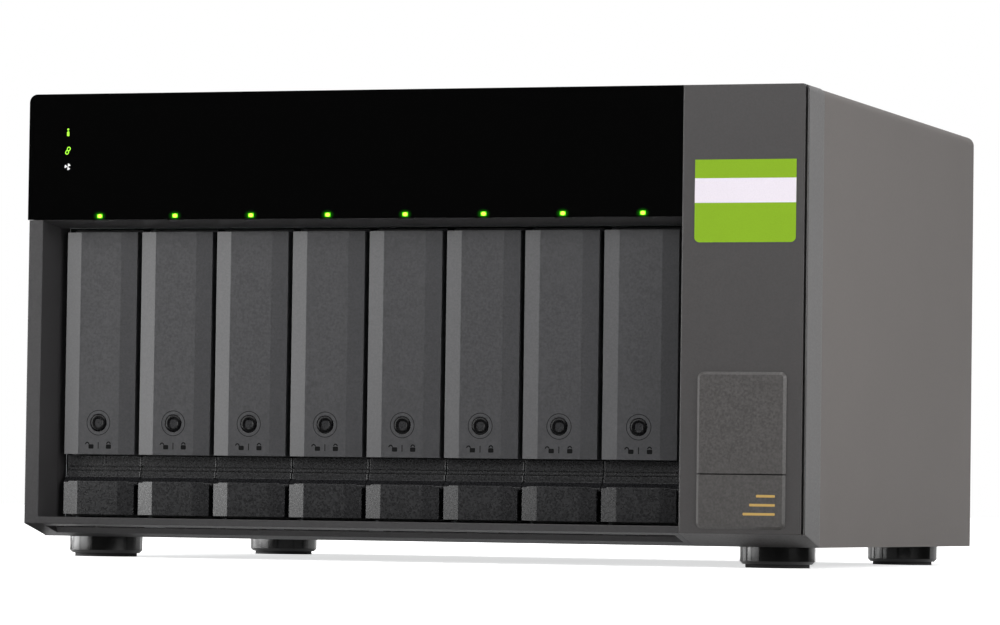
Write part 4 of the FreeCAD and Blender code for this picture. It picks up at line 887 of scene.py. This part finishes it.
class ENCLOSURE_OT_trays(bpy.types.Operator):
    """Finishes the trays, handles, latches and locks and prints the padlock marks."""

    bl_idname = "enclosure.trays"
    bl_label = "Trays"

    def execute(self, context):
        finish_nodes("handle_plastic", "latch_plastic", "carrier_plastic", "lock_metal")
        sizes = context.scene.enclosure_sizes
        black = printed("pad_print_black", linear("060607"), 0.7, shine=0.15)
        # The ring round each lock is a painted shadow of a groove: dark ink where the groove lies in
        # shade.
        groove = printed("lock_ring_shadow", linear("1C1C1E"), 0.7, shine=0.15)
        # Dyed and plain zinc castings: nearly smooth, the dyed one with only a low shine. The plain
        # insert's paler grey is also a painted reflection, standing in for light off the key opening's
        # face.
        barrel_black = grained(
            "dyed_zinc_barrel", linear("040405"), 0.5, 0.26, mottle=0.1, depth=0.002, shine=0.25
        )
        insert_painted_reflection = grained("zinc_key_insert", linear("232325"), 0.4, 0.3, mottle=0.1, depth=0.002)
        for number in range(1, TRAYS + 1):
            low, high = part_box(f"tray_handle_{number}")
            handle, x, front = f"handle_{number}", (low.x + high.x) / 2, low.y - sizes.ink
            barrel, z = f"lock_{number}", middle(f"tray_lock_{number}").z
            barrel_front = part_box(f"tray_lock_{number}")[0].y
            marks = lock_marks(x, low.z + MARKS_RISE, front, sizes)
            new_piece(f"lock_marks_{number}", marks, black, handle)
            ring = lock_ring(x, z, front, sizes)
            new_piece(f"lock_ring_{number}", ring, groove, handle)
            crown = key_crown(x, z, barrel_front)
            new_piece(f"lock_crown_{number}", crown, barrel_black, barrel, smooth=True)
            insert = key_insert(x, z, barrel_front)
            new_piece(f"lock_insert_{number}", insert, insert_painted_reflection, barrel)
        return {"FINISHED"}


# ---------------------------------------------------------------- case, rear and feet

# Rings that join the spokes of the fan guards, and how many corners each has.
GUARD_RADII = (45.5 * MM, 34.5 * MM, 23.5 * MM)
GUARD_CORNERS = 56
SMALL_GUARD_RADII = (11.5 * MM, 5.5 * MM)
SMALL_GUARD_CORNERS = 28

# Screws: how proud they stand, and how far they lie from a fan's axis, from the edges of the rear
# wall and of the power supply, and over the mains inlet.
SCREW_RISE = 1.0 * MM
FAN_SCREW_AWAY = 52.5 * MM
CASE_SCREW_IN = 5.5 * MM
SUPPLY_SCREW_IN = 4.2 * MM
SUPPLY_SCREW_OVER_INLET = 3.8 * MM
SUPPLY_SCREW_HEAD = 2.2 * MM


def screw(mesh, centre, direction, head):
    """Adds the pan head of a screw."""
    profile = [
        (0.0, SCREW_RISE), (head * 0.55, SCREW_RISE), (head * 0.86, 0.75 * SCREW_RISE),
        (head, 0.2 * SCREW_RISE), (head, 0.0),
    ]
    lathe(mesh, profile, centre, direction, 24)


def cross_recess(x, z, head):
    """Outline of a cross recess as (x, z) points: three corners, turned by four quarters."""
    arm, wide = 0.5 * head, 0.13 * head
    points = []
    for across, up in ((1, 0), (0, 1), (-1, 0), (0, -1)):
        for a, b in ((arm, -wide), (arm, wide), (wide, wide)):
            points.append((x + a * across - b * up, z + a * up + b * across))
    return points


def fan_centres():
    """Places of the two large fans as (x, z) points."""
    low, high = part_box("fan_frames")
    half = (high.z - low.z) / 2
    return (low.x + half, low.z + half), (high.x - half, low.z + half)


def guard_rings(wire):
    """Rings of wire over the two large fans and the power supply's fan."""
    small = middle("supply_fan_rotor")
    sets = [(spot, GUARD_RADII, "rear_panel", GUARD_CORNERS) for spot in fan_centres()]
    sets.append(((small.x, small.z), SMALL_GUARD_RADII, "power_supply", SMALL_GUARD_CORNERS))
    mesh = bmesh.new()
    for (x, z), radii, wall, corners in sets:
        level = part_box(wall)[1].y + wire
        for radius in radii:
            wire_ring(mesh, [(px, level, pz) for px, pz in circle(x, z, radius, corners)], wire)
    return mesh


def rear_screw_places(case_head):
    """Every screw on the back, as its x, its z, the face that it sits on and its head's radius."""
    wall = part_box("rear_panel")[1]
    places = [
        (x + a, z + b, wall.y, case_head) for x, z in fan_centres()
        for a in (-FAN_SCREW_AWAY, FAN_SCREW_AWAY) for b in (-FAN_SCREW_AWAY, FAN_SCREW_AWAY)
    ]
    places += [
        (x, wall.z - CASE_SCREW_IN, wall.y, case_head)
        for x in (CASE_SCREW_IN - wall.x, 0.0, wall.x - CASE_SCREW_IN)
    ]
    low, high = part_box("power_supply")
    inlet_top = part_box("power_inlet")[1].z
    places += [
        (x, z, high.y, SUPPLY_SCREW_HEAD)
        for x in (low.x + SUPPLY_SCREW_IN, high.x - SUPPLY_SCREW_IN)
        for z in (high.z - SUPPLY_SCREW_IN, inlet_top + SUPPLY_SCREW_OVER_INLET)
    ]
    return places


class ENCLOSURE_OT_case(bpy.types.Operator):
    """Finishes the cover, pan, cage and feet."""

    bl_idname = "enclosure.case"
    bl_label = "Case"

    def execute(self, context):
        finish_nodes("cover_paint", "pan_steel", "cage_steel", "foot_gloss", "foot_rubber")
        return {"FINISHED"}


class ENCLOSURE_OT_rear(bpy.types.Operator):
    """Finishes the rear wall, boards, power supply and fans, and adds guard rings and screws."""

    bl_idname = "enclosure.rear"
    bl_label = "Rear"

    def execute(self, context):
        finish_nodes(
            "rear_paint", "supply_steel", "inlet_plastic", "circuit_board", "connector_plastic",
            "socket_steel", "fan_plastic", "rotor_plastic", "guard_wire", "button_plastic",
        )
        sizes = context.scene.enclosure_sizes
        rings = guard_rings(sizes.wire)
        new_piece("guard_rings", rings, FINISHES["guard_wire"], "case", smooth=True)
        heads, slots = bmesh.new(), bmesh.new()
        for x, z, face, head in rear_screw_places(sizes.screw_head):
            screw(heads, (x, face, z), (0, 1, 0), head)
            # Each cross recess is dark ink on the head: a painted shadow of the recess.
            extrude_front(slots, [cross_recess(x, z, head)], face + SCREW_RISE, sizes.ink)
        steel = plated("zinc_plated_screw", "8F9194", 0.34, spangle=1.5)
        dark = printed("screw_recess_shadow", linear("131314"), 0.8, shine=0.1)
        new_piece("rear_screws", heads, steel, "case", smooth=True)
        new_piece("rear_screw_slots", slots, dark, "case")
        return {"FINISHED"}


# ---------------------------------------------------------------- studio

def floor_finish():
    """Seamless white paper: white to the camera, and it keeps the object's shadow."""
    material, tree, shader, place = new_material("seamless_white_paper")
    pulp = add(tree, "ShaderNodeTexNoise", {"Vector": place, "Scale": per_metre(3)})
    tone = add(
        tree, "ShaderNodeMapRange", {"Value": pulp.outputs["Fac"], "To Min": 0.88, "To Max": 0.92}
    )
    paint = add(tree, "ShaderNodeCombineColor", {
        "Red": tone.outputs["Result"], "Green": tone.outputs["Result"], "Blue": tone.outputs["Result"],
    })
    # The paper is lit less far from the lamps, so its own white grows with the distance.
    far = add(tree, "ShaderNodeVectorMath", {0: place}, operation="LENGTH")
    white = add(
        tree, "ShaderNodeMapRange",
        {"Value": far.outputs["Value"], "From Min": 0.2, "From Max": 0.5, "To Min": 0.62, "To Max": 1.0},
    )
    # In a mirror, the lamps' own light on the paper counts as well, so it needs less there.
    path = add(tree, "ShaderNodeLightPath")
    share = add(
        tree, "ShaderNodeMapRange",
        {"Value": path.outputs["Is Glossy Ray"], "To Min": 1.0, "To Max": 0.3},
    )
    shown = add(
        tree, "ShaderNodeMath", {0: seen_directly(tree), 1: share.outputs["Result"]},
        operation="MULTIPLY",
    )
    lift = add(
        tree, "ShaderNodeMath", {0: shown.outputs["Value"], 1: white.outputs["Result"]},
        operation="MULTIPLY",
    )
    fill(tree, shader, {
        "Base Color": paint.outputs["Color"],
        "Emission Color": (1, 1, 1, 1),
        "Emission Strength": lift.outputs["Value"],
        "Roughness": 0.9,
        "Specular IOR Level": 0.0,
    })
    return material


def seen_directly(tree):
    """One where a ray comes from the camera, a mirror or clear plastic, and otherwise nought."""
    path = add(tree, "ShaderNodeLightPath")
    mirrored = add(
        tree, "ShaderNodeMath",
        {0: path.outputs["Is Camera Ray"], 1: path.outputs["Is Glossy Ray"]}, operation="MAXIMUM",
    )
    shown = add(
        tree, "ShaderNodeMath",
        {0: mirrored.outputs["Value"], 1: path.outputs["Is Transmission Ray"]}, operation="MAXIMUM",
    )
    return shown.outputs["Value"]


# Lamps: name, setting that holds the power, place, what it points at, width and height.
CASE_MIDDLE = (0, 0, 0.09)
LAMPS = (
    ("key_lamp", "key_power", (-1.55, -1.2, 0.62), CASE_MIDDLE, 0.95, 1.3),
    ("front_lamp", "front_power", (-0.36, -1.75, 0.8), CASE_MIDDLE, 1.2, 0.55),
    ("rim_lamp", "rim_power", (-1.42, 0.0, 0.2), CASE_MIDDLE, 1.1, 0.5),
    ("side_lamp", "side_power", (0.96, -0.48, 0.35), CASE_MIDDLE, 0.5, 0.6),
    ("top_lamp", "top_power", (0.1, 0.0, 2.0), CASE_MIDDLE, 0.6, 0.6),
    ("floor_lamp", "floor_power", (-0.62, -0.33, 0.0015), (-0.62, -0.33, 1.0), 0.55, 0.55),
)

# Cloth: it lies on the floor from the first radius to the second, and hangs from there up to the
# third. Its sweep is in degrees, from straight ahead of the front to the left.
CLOTH_BANDS = ((0.2, 0.0005, 2.3, 0.0005), (2.3, 0.0005, 2.5, 1.5))
CLOTH_SWEEP = range(-120, 106, 5)

FLOOR_HALF = 30.0

# Camera: it stands low at the right of the front, turned left, tipped up and rolled by degrees.
CAMERA_PLACE = (0.6627, -1.9889, 0.0220)
CAMERA_YAW, CAMERA_PITCH, CAMERA_ROLL = 18.621, 2.264, 0.795
CAMERA_SENSOR = 36.0
CAMERA_REACH = 60.0


def stage_piece(name, mesh, material):
    """Part of the studio made of a finished bmesh, with its material."""
    data = bpy.data.meshes.new(name)
    mesh.to_mesh(data)
    mesh.free()
    piece = bpy.data.objects.new(name, data)
    bpy.context.scene.collection.objects.link(piece)
    data.materials.append(material)
    return piece


def light_world(scene, fill):
    """Even light from all around, behind a background that shows white."""
    world = bpy.data.worlds.new("studio_world")
    world.use_nodes = True
    tree = world.node_tree
    tree.nodes.clear()
    strength = add(
        tree, "ShaderNodeMapRange", {"Value": seen_directly(tree), "To Min": fill, "To Max": 1.0}
    )
    light = add(
        tree, "ShaderNodeBackground",
        {"Color": (1, 1, 1, 1), "Strength": strength.outputs["Result"]},
    )
    add(tree, "ShaderNodeOutputWorld", {"Surface": light.outputs["Background"]})
    scene.world = world


def place_lamps(scene):
    """Soft rectangular lamps that the camera doesn't see."""
    for name, setting, place, aim, width, height in LAMPS:
        lamp = bpy.data.lights.new(name, "AREA")
        lamp.shape = "RECTANGLE"
        lamp.size = width
        lamp.size_y = height
        lamp.energy = getattr(scene.enclosure_studio, setting)
        holder = bpy.data.objects.new(name, lamp)
        scene.collection.objects.link(holder)
        holder.location = place
        way = Vector(aim) - Vector(place)
        holder.rotation_euler = way.to_track_quat("-Z", "Y").to_euler()
        holder.visible_camera = False
        # The lamp on the floor is there for the glint of the gloss feet only.
        holder.visible_diffuse = name != "floor_lamp"
        if name == "key_lamp":
            # The frame's lip throws no shadow of this lamp, so the first tray is as bright as the rest.
            left_out = bpy.data.collections.new("key_lamp_blockers")
            left_out.objects.link(NODES["front_bezel"])
            left_out.collection_objects[0].light_linking.link_state = "EXCLUDE"
            holder.light_linking.blocker_collection = left_out


def hang_cloth():
    """Black cloth in a curve round the front, lying on the floor there.

    Only reflections see it, so it keeps the gloss panel and the feet black.
    """
    mesh = bmesh.new()
    sweep = [math.radians(angle) for angle in CLOTH_SWEEP]
    for radius, level, next_radius, next_level in CLOTH_BANDS:
        for start, end in zip(sweep, sweep[1:]):
            corners = [
                mesh.verts.new((-away * math.sin(angle), -away * math.cos(angle), height))
                for away, angle, height in (
                    (radius, start, level), (radius, end, level),
                    (next_radius, end, next_level), (next_radius, start, next_level),
                )
            ]
            mesh.faces.new(corners)
    cloth = stage_piece("studio_cloth", mesh, printed("black_velvet_cloth", linear("050505"), 0.9))
    cloth.visible_camera = False
    cloth.visible_shadow = False
    cloth.visible_diffuse = False


def place_camera(scene):
    """Camera at its place, turned by its yaw, pitch and roll."""
    lens = bpy.data.cameras.new("camera")
    lens.lens = scene.enclosure_studio.lens
    lens.sensor_width = CAMERA_SENSOR
    lens.clip_end = CAMERA_REACH
    eye = bpy.data.objects.new("camera", lens)
    scene.collection.objects.link(eye)
    yaw, pitch, roll = (math.radians(angle) for angle in (CAMERA_YAW, CAMERA_PITCH, CAMERA_ROLL))
    ahead = Vector((-math.sin(yaw) * math.cos(pitch), math.cos(yaw) * math.cos(pitch), math.sin(pitch)))
    aside = Vector((math.cos(yaw), math.sin(yaw), 0))
    above = aside.cross(ahead)
    right = aside * math.cos(roll) + above * math.sin(roll)
    up = above * math.cos(roll) - aside * math.sin(roll)
    turn = Matrix((right, up, -ahead)).transposed()
    eye.matrix_world = Matrix.Translation(CAMERA_PLACE) @ turn.to_4x4()
    scene.camera = eye


class ENCLOSURE_OT_stage(bpy.types.Operator):
    """Sets up the pale floor, the lamps, the world and the camera."""

    bl_idname = "enclosure.stage"
    bl_label = "Studio"

    def execute(self, context):
        scene = context.scene
        scene.view_settings.view_transform = "Standard"
        floor = bmesh.new()
        bmesh.ops.create_grid(floor, x_segments=1, y_segments=1, size=FLOOR_HALF)
        stage_piece("studio_floor", floor, floor_finish())
        light_world(scene, scene.enclosure_studio.fill)
        place_lamps(scene)
        hang_cloth()
        place_camera(scene)
        return {"FINISHED"}


# ---------------------------------------------------------------- panel and registration

OPERATORS = (
    ENCLOSURE_OT_stage,
    ENCLOSURE_OT_front,
    ENCLOSURE_OT_display,
    ENCLOSURE_OT_label,
    ENCLOSURE_OT_plate_print,
    ENCLOSURE_OT_trays,
    ENCLOSURE_OT_case,
    ENCLOSURE_OT_rear,
)


class ENCLOSURE_PT_sidebar(bpy.types.Panel):
    """Lists the settings and the operators of the enclosure."""

    bl_label = "Disk shelf enclosure"
    bl_idname = "ENCLOSURE_PT_sidebar"
    bl_space_type = "VIEW_3D"
    bl_region_type = "UI"
    bl_category = "Enclosure"

    def draw(self, context):
        for group in ("enclosure_sizes", "enclosure_colours", "enclosure_studio"):
            settings = getattr(context.scene, group)
            column = self.layout.column()
            for name in settings.__annotations__:
                column.prop(settings, name)
        for operator in OPERATORS:
            self.layout.operator(operator.bl_idname)


GROUPS = {
    "enclosure_sizes": EnclosureSizes,
    "enclosure_colours": EnclosureColours,
    "enclosure_studio": EnclosureStudio,
}


def register():
    """Registers the groups, operators and panel."""
    for name, group in GROUPS.items():
        bpy.utils.register_class(group)
        setattr(bpy.types.Scene, name, bpy.props.PointerProperty(type=group))
    for operator in OPERATORS:
        bpy.utils.register_class(operator)
    bpy.utils.register_class(ENCLOSURE_PT_sidebar)


def unregister():
    """Takes the panel, operators and groups out again."""
    bpy.utils.unregister_class(ENCLOSURE_PT_sidebar)
    for operator in reversed(OPERATORS):
        bpy.utils.unregister_class(operator)
    for name, group in GROUPS.items():
        delattr(bpy.types.Scene, name)
        bpy.utils.unregister_class(group)


def main():
    """Dresses the enclosure."""
    register()
    for operator in OPERATORS:
        group, action = operator.bl_idname.split(".")
        getattr(getattr(bpy.ops, group), action)()
    bpy.context.view_layer.update()


if __name__ == "__main__":
    main()
